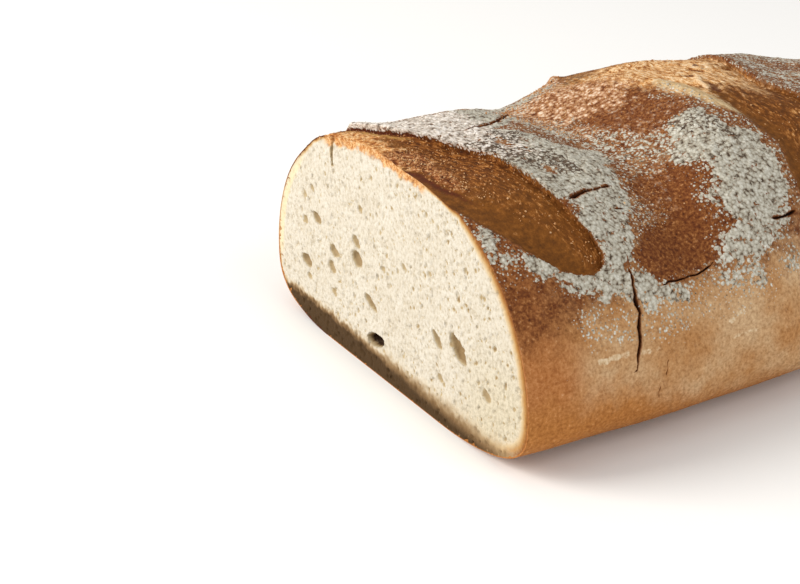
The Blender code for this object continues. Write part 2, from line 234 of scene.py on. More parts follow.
def spine_foot(x):
    """Where on the spine the section of the outline point at x starts."""
    run = np.clip((x - SPINE_STRAIGHT) / (LENGTH - SPINE_STRAIGHT), 0.0, 1.0)
    fan = SPINE_END - SPINE_STRAIGHT
    squeeze = (LENGTH - SPINE_STRAIGHT) / fan
    return np.where(x > SPINE_STRAIGHT, SPINE_STRAIGHT + fan * (1 - (1 - run) ** squeeze), x)


def section(turn, outline_turn):
    """Share of the half-width, and of the height, at a turn of the section.

    From 90 (crest) through 0 (belly line) to -90 (the flat base's edge).
    """
    base = (NEAR_BASE + FAR_BASE) / 2 + (NEAR_BASE - FAR_BASE) / 2 * np.sin(outline_turn)
    up = np.radians(np.clip(turn, 0, 90))
    down = np.radians(np.clip(-turn, 0, 90))
    out = np.cos(up) ** (2 / SECTION_SIDE)
    under = base + (1 - base) * np.cos(down) ** (2 / UNDER_SIDE)
    share = np.where(turn >= 0, out, under)
    return share, np.sin(up) ** (2 / SECTION_TOP), np.sin(down) ** (2 / UNDER_BASE)


def plain_point(outline_turn, turn):
    """A point of the plain loaf, without slashes."""
    x, y = oval(outline_turn)
    foot = spine_foot(x)
    share, rise, sink = section(turn, outline_turn)
    crest = smooth_curve(foot, CREST_X, CREST_Z)
    z = BELLY + (crest - BELLY) * rise - BELLY * sink
    middle = middle_line(foot)
    return np.stack([foot + (x - foot) * share, middle + (y - middle) * share, z], axis=-1)


def outline_turn_at(x):
    """The near side's outline turn where the outline passes x."""
    share = (np.asarray(x) - WIDEST_X) / (LENGTH - WIDEST_X)
    return np.arccos(np.sign(share) * np.abs(share) ** (PLAN_ROUND / 2))


def crack_path(crack):
    """A crack's line on the plain loaf, in close steps."""
    x, turn = np.array(crack["path"], float).T
    steps = np.linspace(0, len(x) - 1, 60)
    x = smooth_curve(steps, np.arange(len(x)), x)
    turn = smooth_curve(steps, np.arange(len(turn)), turn)
    side = np.where(turn > 90, -1.0, 1.0)
    return plain_point(side * outline_turn_at(x), 90 - np.abs(90 - turn))


# ---- Strokes on the crust: (x, y, z) to (x, y, z) and a radius in mm, and how strong -----
# Patches of flour
FLOUR = (
    ((46, -22, 74), (56, -22, 72), 9, 1.0), ((50, -28, 72), (46, -42, 69), 11, 1.0),
    ((46, -48, 66), (42, -58, 61), 6.5, 0.86), ((41, -58, 62), (40, -64, 58), 5, 0.9),
    ((12, 31, 72), (15, 17, 75), 5, 1.0), ((16, 15, 75), (24, -1, 76), 5, 0.92),
    ((25, -3, 76), (30, -18, 75), 4.5, 1.0), ((62, 38, 68), (84, 44, 71), 7, 0.72),
    ((31, -20, 75), (36, -41, 70), 5, 1.0), ((36, -41, 70), (39, -58, 64), 5, 1.0),
    ((91, -28, 78), (93, -38, 75), 8, 1.0), ((85, -40, 72), (102, -43, 74), 9, 1.0),
    ((84, -54, 65), (100, -53, 67), 10, 0.95), ((80, -66, 55), (98, -62, 59), 8, 0.76),
    ((76, -70, 47), (86, -71, 46), 5, 0.62), ((100, -70, 47), (104, -69, 47), 4, 0.6),
    ((13, -61, 59), (28, -66, 56), 4.5, 0.90), ((28, -67, 54), (45, -70, 50), 5.5, 0.95),
    ((44, -71, 47), (57, -72, 45), 4.5, 0.8), ((3, -48, 66), (5, -58, 62), 3.5, 0.75),
    ((12, 31, 73), (30, 20, 76), 9, 1.0), ((30, 8, 77), (50, 26, 73), 12, 1.0),
    ((24, 1, 77), (40, -4, 76), 7, 0.85), ((25, -10, 77), (33, -30, 75), 6, 0.85),
    ((36, -20, 76), (44, -12, 75), 8, 0.80), ((60, 2, 73), (66, -14, 73), 9, 0.45),
    ((70, -18, 73), (80, -28, 75), 9, 0.55), ((72, -42, 69), (70, -34, 71), 6, 0.42),
    ((92, -14, 80), (102, -26, 78), 5, 0.50), ((147, 9, 80), (153, -8, 80), 8, 0.56),
    ((152, -14, 78), (158, -34, 72), 10, 0.54), ((162, 28, 73), (184, 14, 74), 13, 0.57),
    ((192, -18, 70), (204, 14, 65), 12, 0.54), ((60, 46, 63), (24, 52, 61), 12, 0.54),
    ((114, 58, 58), (94, 63, 54), 10, 0.50), ((176, -46, 58), (194, -38, 58), 9, 0.52),
    ((26, -75, 43), (54, -76, 42), 8, 0.38), ((54, 14, 74), (64, -2, 72), 6, 0.62),
    ((64, -2, 72), (66, -14, 73), 6, 0.50),
)
# Where the flour broke into grains with dark crust between them, darkened further by painted shade
PEPPER = (
    ((29, -12, 77), (39, -6, 77), 8, 1.0), ((32, -20, 76), (42, -28, 75), 8, 1.0),
    ((20, -8, 76), (34, 10, 77), 8, 0.78),
    ((86, -20, 79), (98, -34, 78), 7, 0.9), ((72, -20, 74), (76, -40, 70), 6, 0.8),
    ((98, -46, 72), (102, -60, 64), 5, 0.7), ((12, 28, 73), (24, 14, 76), 6, 0.7),
    ((46, -46, 67), (43, -60, 60), 5, 0.7), ((28, -67, 54), (45, -70, 50), 5, 0.2),
)
# Where little flour fell
BARE = (
    ((68, -44, 68), (80, -46, 68), 7, 1.0), ((76, -58, 60), (54, -66, 55), 7, 1.0),
    ((78, 20, 78), (92, 6, 80), 12, 0.8), ((68, -64, 57), (72, -52, 65), 6, 1.0),
    ((168, -46, 58), (178, -18, 73), 8, 0.9), ((110, 58, 60), (140, 55, 60), 11, 0.8),
    ((0, 43, 70), (3, 60, 62), 5, 1.0), ((82, 0, 78), (88, -16, 78), 9, 0.95),
)
# Where the thin skin of the ridge between the slashes crumbled, pale on brown
RIDGE = (
    ((72, 28, 73), (80, 20, 76), 11, 0.92), ((82, 27, 76), (93, 12, 80), 9, 0.88),
    ((70, 14, 73), (86, 6, 78), 8, 0.70), ((84, 0, 78), (92, -14, 80), 9, 0.26),
    ((74, -10, 75), (84, -20, 76), 8, 0.30), ((88, 46, 72), (98, 40, 76), 9, 1.0),
    ((60, -50, 66), (70, -38, 70), 9, 0.27), ((56, 22, 73), (68, -2, 72), 6, 0.50),
)
# Pale scuffs on the side, where the dough's skin stretched
SCUFFS = (
    ((24.8, -77.7, 33.4), (34.5, -77.7, 33.6), 0.8, 0.84),
    ((29.8, -77.5, 35.4), (36.5, -77.7, 36.0), 0.6, 0.74),
    ((38.8, -77.7, 32.6), (46.8, -78.0, 33.2), 0.5, 0.66),
    ((73.3, -75.4, 34.4), (78.2, -75.2, 36.8), 0.8, 0.85),
    ((73.0, -76.7, 29.4), (82.3, -76.8, 30.4), 0.5, 0.66),
)
# In the second slash's pale torn half: small hollows, sunk and painted dark as their shade, and a strip of
# skin that curled up
HOLLOWS = (
    ((121.0, 9.5, 82.3), (123.5, 4.5, 82.4), 1.7, 1.0), ((113.2, 1.6, 83.6), (114.2, 0.6, 83.6), 1.3, 1.0),
    ((133.8, 7.4, 81.0), (134.6, 6.6, 81.0), 1.2, 0.9), ((114.6, -9.5, 83.1), (113.4, -13.8, 82.8), 1.7, 0.6),
)
CURL = (
    ((114.8, -2.0, 83.6), (111.4, -6.8, 83.5), 1.0, 1.0),
    ((111.4, -6.8, 83.5), (110.4, -12.0, 83.1), 1.0, 1.0),
)


def nearest(points, path):
    """Distance from each point to a path, and how far along it that is, 0 to 1."""
    best = np.full(len(points), np.inf)
    place = np.zeros(len(points))
    for k, (start, end) in enumerate(zip(path, path[1:])):
        along = end - start
        t = np.clip((points - start) @ along / (along @ along), 0, 1)
        gap = np.linalg.norm(points - start - t[:, None] * along, axis=1)
        closer = gap < best
        best[closer] = gap[closer]
        place[closer] = (k + t[closer]) / (len(path) - 1)
    return best, place


def close_to(points, path, reach):
    """Numbers of the points within reach of the path's box."""
    low, high = path.min(axis=0) - reach, path.max(axis=0) + reach
    return np.flatnonzero(np.all((points > low) & (points < high), axis=1))


def stroke_cover(points, strokes, fray=0.0, soft=(1.5, 2.0)):
    """How much each point lies under a list of strokes; fray moves their edges, in mm."""
    cover = np.zeros(len(points))
    for start, end, radius, amount in strokes:
        gap, _ = nearest(points, np.array([start, end]) * MM)
        cover = np.maximum(cover, amount * ease(radius - gap / MM + fray, -soft[0], soft[1]))
    return cover


# ---- Crust: the mesh -----------------------------------------------------
STEP = 0.00134           # mesh spacing before the shown side is made finer
TIP_STEP = 0.00170       # at the rounded end
UNDER_STEP = 0.0021      # below the belly line
SHOWN_STEP = 0.00065     # on the top and the near shoulder
LIP_STEP = 0.00034
SCUFF_STEP = 0.00040
CRACK_STEP = 0.00020
BASE_ROWS = 4            # rows from the flat base's edge to its middle line
FINE_X = 0.160           # past this the spacing is the rounded end's
SHOWN = (0.156, 0.042, 0.050)   # the shown top: X and Y below, and Z above
LIP_BAND = (-0.0022, 0.0010)    # the fine band along a far lip, by how far past it
CRACK_BAND = 0.0006      # the fine band on both sides of a crack
SEARCH = 0.003           # how far from a crack's box points are looked at
SPLIT_FROM = 1.35        # a face is split while its side is this many steps long
WELD = 0.00012           # points this close become one
SLIVER = 0.00001         # faces thinner than this go


def outline_stations():
    """Outline turns from the near corner of the cut, round the tip, to the far one."""
    turns = np.linspace(float(outline_turn_at(0.0)), 0.0, 4001)
    x, y = oval(turns)
    steps = np.hypot(np.diff(x), np.diff(y)) / np.where(x[1:] < FINE_X, STEP, TIP_STEP)
    length = np.concatenate([[0.0], np.cumsum(steps)])
    near = np.interp(np.linspace(0.0, length[-1], round(length[-1]) + 1), length, turns)
    return np.concatenate([near, -near[-2::-1]])


def section_rows():
    """Turns of the section's rows from the crest to the flat base's edge."""
    turns = np.linspace(90.0, -90.0, 4001)
    share, rise, sink = section(turns, 0.0)
    y = CUT_HALF_WIDTH * share
    z = BELLY + (CREST_Z[0] - BELLY) * rise - BELLY * sink
    steps = np.hypot(np.diff(y), np.diff(z)) / np.where(turns[1:] > 0, STEP, UNDER_STEP)
    length = np.concatenate([[0.0], np.cumsum(steps)])
    return np.interp(np.linspace(0.0, length[-1], round(length[-1]) + 1), length, turns)


def deselect_all():
    for thing in bpy.context.view_layer.objects:
        thing.select_set(False)


def read_each(items, field, width=1, kind=float):
    """One field of all vertices, faces or painted values, as rows where it holds several numbers."""
    found = np.empty(len(items) * width, kind)
    items.foreach_get(field, found)
    return found if width == 1 else found.reshape(-1, width)


def read_points(piece):
    return read_each(piece.data.vertices, "co", 3)


def write_points(piece, points):
    piece.data.vertices.foreach_set("co", np.ascontiguousarray(points, float).ravel())
    piece.data.update()


def paint(piece, name, values):
    """Keep one number, or three, for each vertex as an attribute."""
    kind = "FLOAT" if values.ndim == 1 else "FLOAT_VECTOR"
    layer = piece.data.attributes.new(name, kind, "POINT")
    field = "value" if values.ndim == 1 else "vector"
    layer.data.foreach_set(field, np.ascontiguousarray(values, float).ravel())


def edit(piece):
    deselect_all()
    bpy.context.view_layer.objects.active = piece
    piece.select_set(True)
    bpy.ops.object.mode_set(mode="EDIT")


def done():
    bpy.ops.object.mode_set(mode="OBJECT")


def pick_faces(piece, wanted, larger_than=0.0):
    """Select the faces whose centre is wanted and that are large enough, and nothing else."""
    mesh = piece.data
    mesh.vertices.foreach_set("select", np.zeros(len(mesh.vertices), bool))
    mesh.edges.foreach_set("select", np.zeros(len(mesh.edges), bool))
    # A triangle counts as half a square
    halves = np.where(read_each(mesh.polygons, "loop_total", kind=int) == 3, 2.0, 1.0)
    large = read_each(mesh.polygons, "area") * halves > larger_than
    picked = wanted(read_each(mesh.polygons, "center", 3)) & large
    mesh.polygons.foreach_set("select", picked)
    return picked.any()


def refine(piece, wanted, step):
    """Halve the mesh spacing of the wanted faces until it is about the step."""
    while pick_faces(piece, wanted, (SPLIT_FROM * step) ** 2):
        edit(piece)
        bpy.ops.mesh.select_mode(type="FACE")
        bpy.ops.mesh.subdivide(number_cuts=1, ngon=False)
        done()


def shown_top(centres):
    x, y, z = centres.T
    return (x < SHOWN[0]) & (y < SHOWN[1]) & (z > SHOWN[2])


def near_a_lip(centres):
    """Close to a far lip, which is the steep one, on the slash's side of the loaf."""
    x, y, z = centres.T
    wanted = np.zeros(len(centres), bool)
    for slash in SLASHES:
        far = smooth_curve(y, *zip(*slash["far_lip"]))
        there = (y > slash["near_lip"][0][0]) & (y < slash["near_lip"][-1][0]) & (z > SLASH_FLOOR_Z)
        wanted |= there & (x > far + LIP_BAND[0]) & (x < far + LIP_BAND[1])
    return wanted


def near_a_crack(centres):
    wanted = np.zeros(len(centres), bool)
    for crack in CRACKS:
        path = crack_path(crack)[::4]
        close = close_to(centres, path, SEARCH)
        gap, _ = nearest(centres[close], path)
        wanted[close[gap < crack["half_width"] + CRACK_BAND]] = True
    return wanted


def near_a_scuff(centres):
    return stroke_cover(centres, SCUFFS, 0.8, (0.1, 0.0)) > 0


def shape_plain_crust():
    """A grid wrapped round the loaf: open at the cut, closed at crest, tip and base."""
    stations = outline_stations()
    rows = section_rows()
    deselect_all()
    bpy.ops.mesh.primitive_grid_add(x_subdivisions=len(stations) - 1,
                                    y_subdivisions=len(rows) + BASE_ROWS - 1, size=1.0)
    crust = bpy.context.object
    crust.name = crust.data.name = "crust"
    flat = read_points(crust)[:, :2] + 0.5
    station = stations[np.rint(flat[:, 0] * (len(stations) - 1)).astype(int)]
    row = np.rint(flat[:, 1] * (len(rows) + BASE_ROWS - 1)).astype(int)
    points = plain_point(station, rows[np.minimum(row, len(rows) - 1)])
    foot = spine_foot(oval(station)[0])
    middle = np.stack([foot, middle_line(foot), np.zeros(len(foot))], axis=-1)
    inward = np.clip((row - len(rows) + 1) / BASE_ROWS, 0, 1)[:, None]
    write_points(crust, points + (middle - points) * inward)
    edit(crust)
    bpy.ops.mesh.select_all(action="SELECT")
    bpy.ops.mesh.remove_doubles(threshold=WELD)
    bpy.ops.mesh.dissolve_degenerate(threshold=SLIVER)
    bpy.ops.mesh.select_all(action="SELECT")
    bpy.ops.mesh.normals_make_consistent(inside=False)
    done()
    refine(crust, shown_top, SHOWN_STEP)
    refine(crust, near_a_lip, LIP_STEP)
    refine(crust, near_a_scuff, SCUFF_STEP)
    refine(crust, near_a_crack, CRACK_STEP)
    return crust


# ---- Crust: relief and finish masks --------------------------------------
# Lengths are in metres, and every mask runs from 0 to about 1. Edges are frayed by noise, so
# that no mask ends in a straight line.
# Lumps of caked flour: how far apart, the noise's seed, and how high
FLOUR_LUMPS = ((0.0054, 28, 0.00030), (0.0030, 14, 0.00040), (0.0016, 15, 0.00026))
TORN_MASKS = ("rough", "fibrous", "crease_shade", "gold", "amber", "olive", "roll", "curl")


def unevenness(points):
    """Slow swells of the crust, none on the base and none at the cut."""
    total = np.zeros(len(points))
    for length, shift_a, shift_b in UNEVEN_WAVES:
        k = 2 * math.pi / length
        total += np.sin(k * (points[:, 0] + 0.4 * points[:, 2]) + shift_a) * \
            np.cos(k * (points[:, 1] - 0.5 * points[:, 2]) + shift_b)
    return UNEVEN * total * ease(points[:, 2], 0.002, 0.016) * ease(points[:, 0], 0.0, 0.02)


def slash_relief(points, slash, ragged):
    """A slash's lift, its pull along X, and where it is open.

    Also how far across it each point lies (0 to 1), and how far past either lip.
    """
    x, y, z = points.T
    near = smooth_curve(y, *zip(*slash["near_lip"]))
    far = smooth_curve(y, *zip(*slash["far_lip"])) + 0.6 * ragged
    near_tip, far_tip = slash["near_lip"][0][0], slash["near_lip"][-1][0]
    within = (y > near_tip) * fade(y, far_tip - CLOSING[0], far_tip - CLOSING[1])
    there = within * ease(far - near, 0.0, TIP_RUN) * ease(z, SLASH_FLOOR_Z, SLASH_FLOOR_Z + 0.006)
    past_near = x - near
    past_far = x - far
    run = np.clip(past_near / np.maximum(far - near, 1e-4), 0.0, 1.0)
    depth = slash["near_depth"] + (slash["far_depth"] - slash["near_depth"]) * run
    depth *= 1 - FLOOR_RISEN * ease(y, *FLOOR_RISE) * (1.0 if slash["rises_across"] else 1 - run)
    frays = slash["fray"][0] + (slash["fray"][1] - slash["fray"][0]) * ease(y, 0.0, 0.016)
    at_step = ease(past_far, -STEP_SOFT, 0.0)
    inside = ease(past_near, -0.5 * frays, LIP_SOFT + frays) * (1 - at_step)
    raised = fade(y, *slash["ear_end"])
    ear = slash["ear"] * raised * np.exp(-np.maximum(past_far, 0.0) / EAR_RUN) * at_step
    lift = there * (ear - depth * inside)
    pull = -there * raised * slash["overhang"] * np.exp(-np.abs(past_far) / (2 * STEP_SOFT)) * at_step
    # The open part's colours end ragged at the near lip, and at the foot of the far one
    to_foot = past_far + 0.0001 * ease(y, -0.004, 0.008)
    opened = within * ease(z, SLASH_FLOOR_Z, SLASH_FLOOR_Z + 0.003) * fade(to_foot, -0.0007, -0.0002) * \
        ease(past_near + ragged * (1 + frays / MM), -0.5 * frays, frays)
    return dict(lift=lift, pull=pull * ease(x, 0.0, 0.006), opened=opened, run=run,
                past_near=past_near, past_far=past_far)


def first_slash_masks(points, cut, wobble, fine_wobble):
    """The first slash: its torn half, a step above its smooth, drawn-out half, and the shade painted in its
    creases.
    """
    x, y, _ = points.T
    opened, past_far = cut["opened"], cut["past_far"]
    brink = cut["run"] - (0.34 + 0.16 * ease(-y, 0.030, 0.058)) + 0.09 * wobble
    torn = opened * ease(brink, -0.06, 0.12)
    near_cut = fade(x + 0.004 * wobble + 0.002 * fine_wobble, 0.004, 0.016)
    rough = torn * near_cut * fade(-y, 0.030, 0.045) * (1 - 0.9 * ease(y + 0.006 * wobble, -0.006, 0.008))
    fading = 1.0 - 0.55 * ease(-y, 0.005, 0.045) + 0.10 * ease(-y, 0.050, 0.060)
    # Pale strands under the far lip, and golden crumb where the knife went through
    olive = 0.8 * opened * bell(past_far, -0.0036, 0.0020) * span(y, (0.002, 0.014), (0.036, 0.041))
    amber = opened * ease(y + 0.006 * wobble, -0.022, 0.006) * fade(y, 0.038, 0.043) * \
        fade(x + 0.004 * wobble + 0.003 * fine_wobble, 0.001, 0.011)
    # Painted shade, dark brown, in the creases: under the flap, at the far lip's foot, along the brink, round
    # the sunken end and in the pit
    under_flap = bell(past_far, -0.0010, 0.0006) * span(y, (-0.002, 0.012), (0.040, 0.043))
    at_foot = opened * 0.30 * bell(past_far, -0.0007, 0.0008)
    by_brink = opened * 0.75 * bell(brink, -0.05, 0.06) * ease(-y, 0.006, 0.014) * \
        (1 - 0.7 * ease(-y, 0.028, 0.040))
    by_cut = span(y, (0.0400, 0.0420), (0.052, 0.062)) * fade(x, 0.001, 0.005)
    by_flap = 0.8 * bell(y, 0.0408, 0.0012) * span(x, (0.002, 0.006), (0.010, 0.020))
    to_pit = np.linalg.norm(points - np.array(PIT), axis=1)
    pit = 1.2 * fade(to_pit + 0.0008 * fine_wobble, 0.0004, 0.0026)
    crease_shade = np.maximum.reduce([under_flap, at_foot, by_brink, by_cut, by_flap, pit])
    return dict(torn=torn, rough=rough, fibrous=torn * (1 - near_cut) * fading, crease_shade=crease_shade, amber=amber,
                olive=olive)


def second_slash_masks(points, cut, wobble, fine_wobble):
    """The second slash: pale and torn beyond its near tip, the peeled skin rolled up at its near lip, with
    painted shade among its shreds and in its hollows.
    """
    x, y, z = points.T
    opened, past_near, past_far = cut["opened"], cut["past_near"], cut["past_far"]
    torn = 0.60 * opened * ease(cut["run"] + 0.10 * wobble, 0.05, 0.35)
    onto_ridge = fade(-past_near + 0.003 * wobble + 0.002 * fine_wobble, -0.002, 0.012) * \
        (x > BETWEEN_X) * (past_far < -0.001) * (z > 0.06)
    gold = np.maximum(opened, onto_ridge) * \
        ease(y + 0.008 * wobble + 0.004 * fine_wobble, -0.027, -0.004) * \
        (1 - 0.4 * ease(past_far + 0.004 * fine_wobble, -0.010, -0.001)) * \
        (1 - 0.8 * ease(y + 0.006 * wobble, 0.026, 0.052))
    # Painted shadow among the torn shreds, below the far lip
    shred_shadow = opened * bell(past_far + 0.003 * wobble, -0.012, 0.006) * ease(y, -0.014, -0.004) * \
        ease(fine_wobble, 0.15, 0.45)
    curl = stroke_cover(points, CURL, 0.4 * fine_wobble, (0.5, 0.6))
    hollows = stroke_cover(points, HOLLOWS, 1.2 * fine_wobble, (0.8, 0.8)) * (1 - curl)
    roll = bell(past_near + 0.0016 * wobble + 0.0006 * fine_wobble, 0.0008, 0.0044) * \
        span(-y, (-0.010, 0.004), (0.022, 0.040)) * (x > BETWEEN_X)
    return dict(torn=torn, fibrous=torn, crease_shade=np.maximum(0.8 * shred_shadow, hollows),
                gold=gold * (1 - 0.5 * hollows), roll=roll, curl=curl, hollows=hollows)


def torn_masks(points, cuts):
    """Masks of the torn crumb inside the two slashes, worked out from their lips."""
    wobble = swell(points, 0.012, 3) + 0.5 * swell(points, 0.0042, 4)
    fine_wobble = swell(points, 0.0030, 25)
    first = first_slash_masks(points, cuts[0], wobble, fine_wobble)
    second = second_slash_masks(points, cuts[1], wobble, fine_wobble)
    both = {name: np.maximum(first[name], second[name]) for name in ("torn", "fibrous", "crease_shade")}
    return {**first, **second, **both, "step": first["torn"]}


def form_relief(points, first):
    """Lift of the first slash's flap, of the shoulder behind it, and of the ridge; and the sunken end."""
    x, y, _ = points.T
    past_far = first["past_far"]
    sunk = span(y, *SUNK) * fade(x, 0.004, 0.022)
    flap = span(y, *FLAP) * ease(past_far, -0.0012, 0.0006) * np.exp(-np.maximum(past_far, 0.0) / FLAP_RUN)
    shoulder = span(y, *SHOULDER) * fade(x, 0.012, 0.040)
    dip = bell(x, *DIP[0]) * bell(y, *DIP[1])
    knob = bell(np.linalg.norm(points - np.array(KNOB), axis=1), 0.0, KNOB_RADIUS)
    lift = FLAP_LIFT * flap - SUNK_DEPTH * sunk * (1 - first["opened"]) + SHOULDER_LIFT * shoulder + \
        KNOB_HEIGHT * knob - DIP_DEPTH * dip
    return lift, sunk


def torn_relief(points, flow, torn, first_opened):
    """Lift of the torn crumb: craggy lumps and fibres, the first slash's smooth half a step lower."""
    fibres = swell(flow / np.array([1.0, 3.0, 1.0]), 0.0021, 5)
    return 0.00024 * torn["torn"] * (fibres + grit(points, 0.0034, 7)) + \
        0.00034 * np.maximum(torn["rough"], 0.8 * torn["amber"]) * lumps(points, 0.0022, 6) + \
        0.00070 * (torn["step"] - 0.6 * first_opened) + 0.00050 * torn["roll"] + \
        0.00070 * torn["curl"] - 0.00090 * torn["hollows"]


def lay_flour(points, warped, fray, opened, sunk):
    """How thick flour lies: caked in patches, thin and speckled round them, on what faces up.

    Also where it broke into grains, and where little of it fell.
    """
    x, y, z = points.T
    bare = stroke_cover(warped, BARE, fray, (3.0, 3.0))
    patches = stroke_cover(warped, FLOUR, fray, (2.8, 2.8))
    pepper = stroke_cover(warped, PEPPER, fray, (3.0, 3.0))
    high_haze = 0.40 * ease(z + 0.008 * swell(points, 0.016, 13), 0.046, 0.062)
    side_haze = 0.38 * ease(z + 0.004 * swell(points, 0.009, 13), 0.024, 0.048) * bell(x, 0.066, 0.046)
    haze = np.maximum(high_haze, side_haze * (y < 0))
    flour = np.clip(np.maximum(haze * (1 - 0.9 * bare), patches * (1 - 0.6 * bare)), 0, 1)
    flour *= (1 - opened) * (1 - sunk) * (1 - ease(y, 0.0394, 0.0404) * fade(x, 0.012, 0.022))
    flour *= 1 - 0.30 * ease(grit(points, 0.0026, 24), 0.14, 0.42)
    flour *= 1 - pepper * (0.08 + 0.22 * grit(points, 0.0024, 26))
    return flour, pepper, bare


def fine_relief(points, flour, crumbled, opened):
    """Lift of caked flour, of the baked top's fine crags, of the ridge's crumbs and of the smooth sides."""
    top = ease(points[:, 2], 0.052, 0.066) * (1 - opened)
    return flour * sum(height * lumps(points, size, seed) for size, seed, height in FLOUR_LUMPS) + \
        top * (0.00016 * grit(points, 0.0050, 16) + 0.00010 * lumps(points, 0.0021, 17)) + \
        (1 - top) * 0.00006 * swell(points, 0.0040, 18) + \
        crumbled * 0.00020 * lumps(points, 0.0024, 23)


def shape_cracks(points, lift):
    """Cut the cracks into the lift, and say how much each point lies in one: brown at a crack's edge, and
    painted shade, nearly black, inside it.
    """
    cracked = np.zeros(len(points))
    for crack in CRACKS:
        path = crack_path(crack)
        close = close_to(points, path, 0.005)
        here = points[close]
        wander = np.stack([0.0006 * swell(here, 0.0040, 14) + 0.0003 * swell(here, 0.0014, 15),
                           0.0004 * swell(here, 0.0040, 16), 0.0004 * swell(here, 0.0030, 17)], axis=-1)
        gap, place = nearest(here + wander, path)
        wide = crack["half_width"] * np.clip(np.sin(place * math.pi) * 2.0, 0.15, 1.0) * \
            (1 + 0.5 * swell(here, 0.0035, 18))
        cut = fade(gap, 0.15 * wide, 1.15 * wide)
        curled_edge = 0.00020 * bell(gap, 2.4 * wide, 0.0008) * min(1, crack["depth"] / 0.0014)
        lift[close] += curled_edge - crack["depth"] * cut
        halo = 0.30 * fade(gap, wide, 2.2 * wide + 0.0004)
        deep = min(1.0, 0.25 + crack["depth"] / 0.0024)
        cracked[close] = np.maximum(cracked[close], (halo + 0.70 * cut) * deep)
    return cracked


def shape_crust_relief(crust):
    """Slashes, cracks, crags and swells, and the masks that the crust's finish reads."""
    plain = read_points(crust)
    x, y, z = plain.T
    cuts = []
    for k, slash in enumerate(SLASHES):
        along = np.stack([y, 0 * y + k, 0 * y], axis=-1)
        cuts.append(slash_relief(plain, slash, 0.0007 * swell(along, 0.007, 1 + k) +
                                 0.0004 * swell(plain, 0.0024, 2 + k) + 0.00022 * swell(plain, 0.0012, 27)))
    opened = np.maximum(cuts[0]["opened"], cuts[1]["opened"])
    # Torn crumb is drawn out along the slashes: its fibres follow their far lips
    of_first = x < BETWEEN_X
    flow = np.stack([np.where(of_first, cuts[0]["past_far"], cuts[1]["past_far"]), y,
                     np.where(of_first, 0.0, 0.1)], axis=-1)
    torn = torn_masks(plain, cuts)
    form, sunk = form_relief(plain, cuts[0])

    # Flour and crumbled skin lie in strokes, warped and frayed (mm) so that none shows as a stroke
    warped = plain + 0.0028 * np.stack([swell(plain, 0.010, seed) for seed in (8, 9, 10)], axis=-1)
    fray = 2.4 * swell(plain, 0.0052, 11) + 1.3 * swell(plain, 0.0023, 12)
    flour, pepper, bare = lay_flour(plain, warped, fray, opened, sunk)
    crumbled = stroke_cover(warped, RIDGE, fray, (3.0, 4.0)) * (1 - opened)

    lift = unevenness(plain) + form + cuts[0]["lift"] + cuts[1]["lift"]
    lift += torn_relief(plain, flow, torn, cuts[0]["opened"]) + fine_relief(plain, flour, crumbled, opened)
    cracked = shape_cracks(plain, lift)
    points = plain + read_each(crust.data.vertices, "normal", 3) * (lift * ease(z, 0.0005, 0.004))[:, None]
    points[:, 0] = np.maximum(points[:, 0] + cuts[0]["pull"] + cuts[1]["pull"], 0.0)
    points[x < 1e-6, 0] = 0.0
    points[:, 2] = np.maximum(points[:, 2], 0.0)
    write_points(crust, points)

    behind = ease(y, 0.0, 0.03)
    baked = ease(z + 0.003 * swell(points, 0.02, 19) + 0.006 * fade(x, 0.006, 0.030),
                 0.036 - 0.010 * behind, 0.056 + 0.010 * behind)
    low_top = 0.037 - 0.018 * ease(x, 0.025, 0.075)
    masks = {name: torn[name] for name in TORN_MASKS}
    masks.update(
        opened=opened, cracked=cracked, ridge=crumbled,
        flour=flour * fade(cracked, 0.05, 0.5),
        pepper=pepper * ease(flour, 0.30, 0.60) * (1 - opened),
        # Whiter flour by the cut on the far side: partly thicker, caked flour, partly painted light where the
        # window light falls on it
        caked=flour * fade(x, 0.032, 0.050) * ease(y + 0.0016 * fray, -0.034, -0.014),
        deep_bake=np.clip(baked * (0.75 + 0.5 * bare) + sunk, 0, 1),
        low_edge=fade((z + 0.003 * swell(points, 0.012, 20)) / low_top, 0.15, 1.0),
        warm=fade(x + 0.004 * swell(points, 0.014, 21), 0.004, 0.036) * (y < 0.03),
        scuff=stroke_cover(points, SCUFFS, 0.9 * swell(points, 0.0022, 22), (0.5, 0.6)))
    for name, values in masks.items():
        paint(crust, name, values)
    paint(crust, "flow", flow)


def close_cut(piece, ring, rim, depth):
    """Close a piece behind the cut: its edge drawn in by rim, then back to a narrower floor."""
    middle = Vector((0.0, *((ring.min(axis=0) + ring.max(axis=0)) / 2)))
    edit(piece)
    bpy.ops.mesh.select_mode(type="EDGE")
    bpy.ops.mesh.select_non_manifold(extend=False, use_wire=False, use_boundary=True,
                                     use_multi_face=False, use_non_contiguous=False, use_verts=False)
    if rim < 1.0:
        bpy.ops.mesh.extrude_edges_move()
        bpy.ops.transform.resize(value=(1.0, rim, rim), center_override=middle)
    bpy.ops.mesh.extrude_edges_move(TRANSFORM_OT_translate={"value": (depth, 0.0, 0.0)})
    bpy.ops.transform.resize(value=(1.0, CRUMB_TAPER, CRUMB_TAPER), center_override=middle)
    bpy.ops.mesh.edge_face_add()
    bpy.ops.mesh.select_all(action="SELECT")
    bpy.ops.mesh.normals_make_consistent(inside=False)
    done()


def outline_of_cut(crust):
    """The crust's edge at the cut, as a ring of (Y, Z) in order."""
    bm = bmesh.new()
    bm.from_mesh(crust.data)
    edges = [e for e in bm.edges if e.is_boundary]
    ring = [edges[0].verts[0]]
    ahead = edges[0].verts[1]
    came = edges[0]
    while ahead is not ring[0]:
        ring.append(ahead)
        came = next(e for e in ahead.link_edges if e.is_boundary and e is not came)
        ahead = came.other_vert(ahead)
    found = np.array([(v.co.y, v.co.z) for v in ring])
    bm.free()
    return found


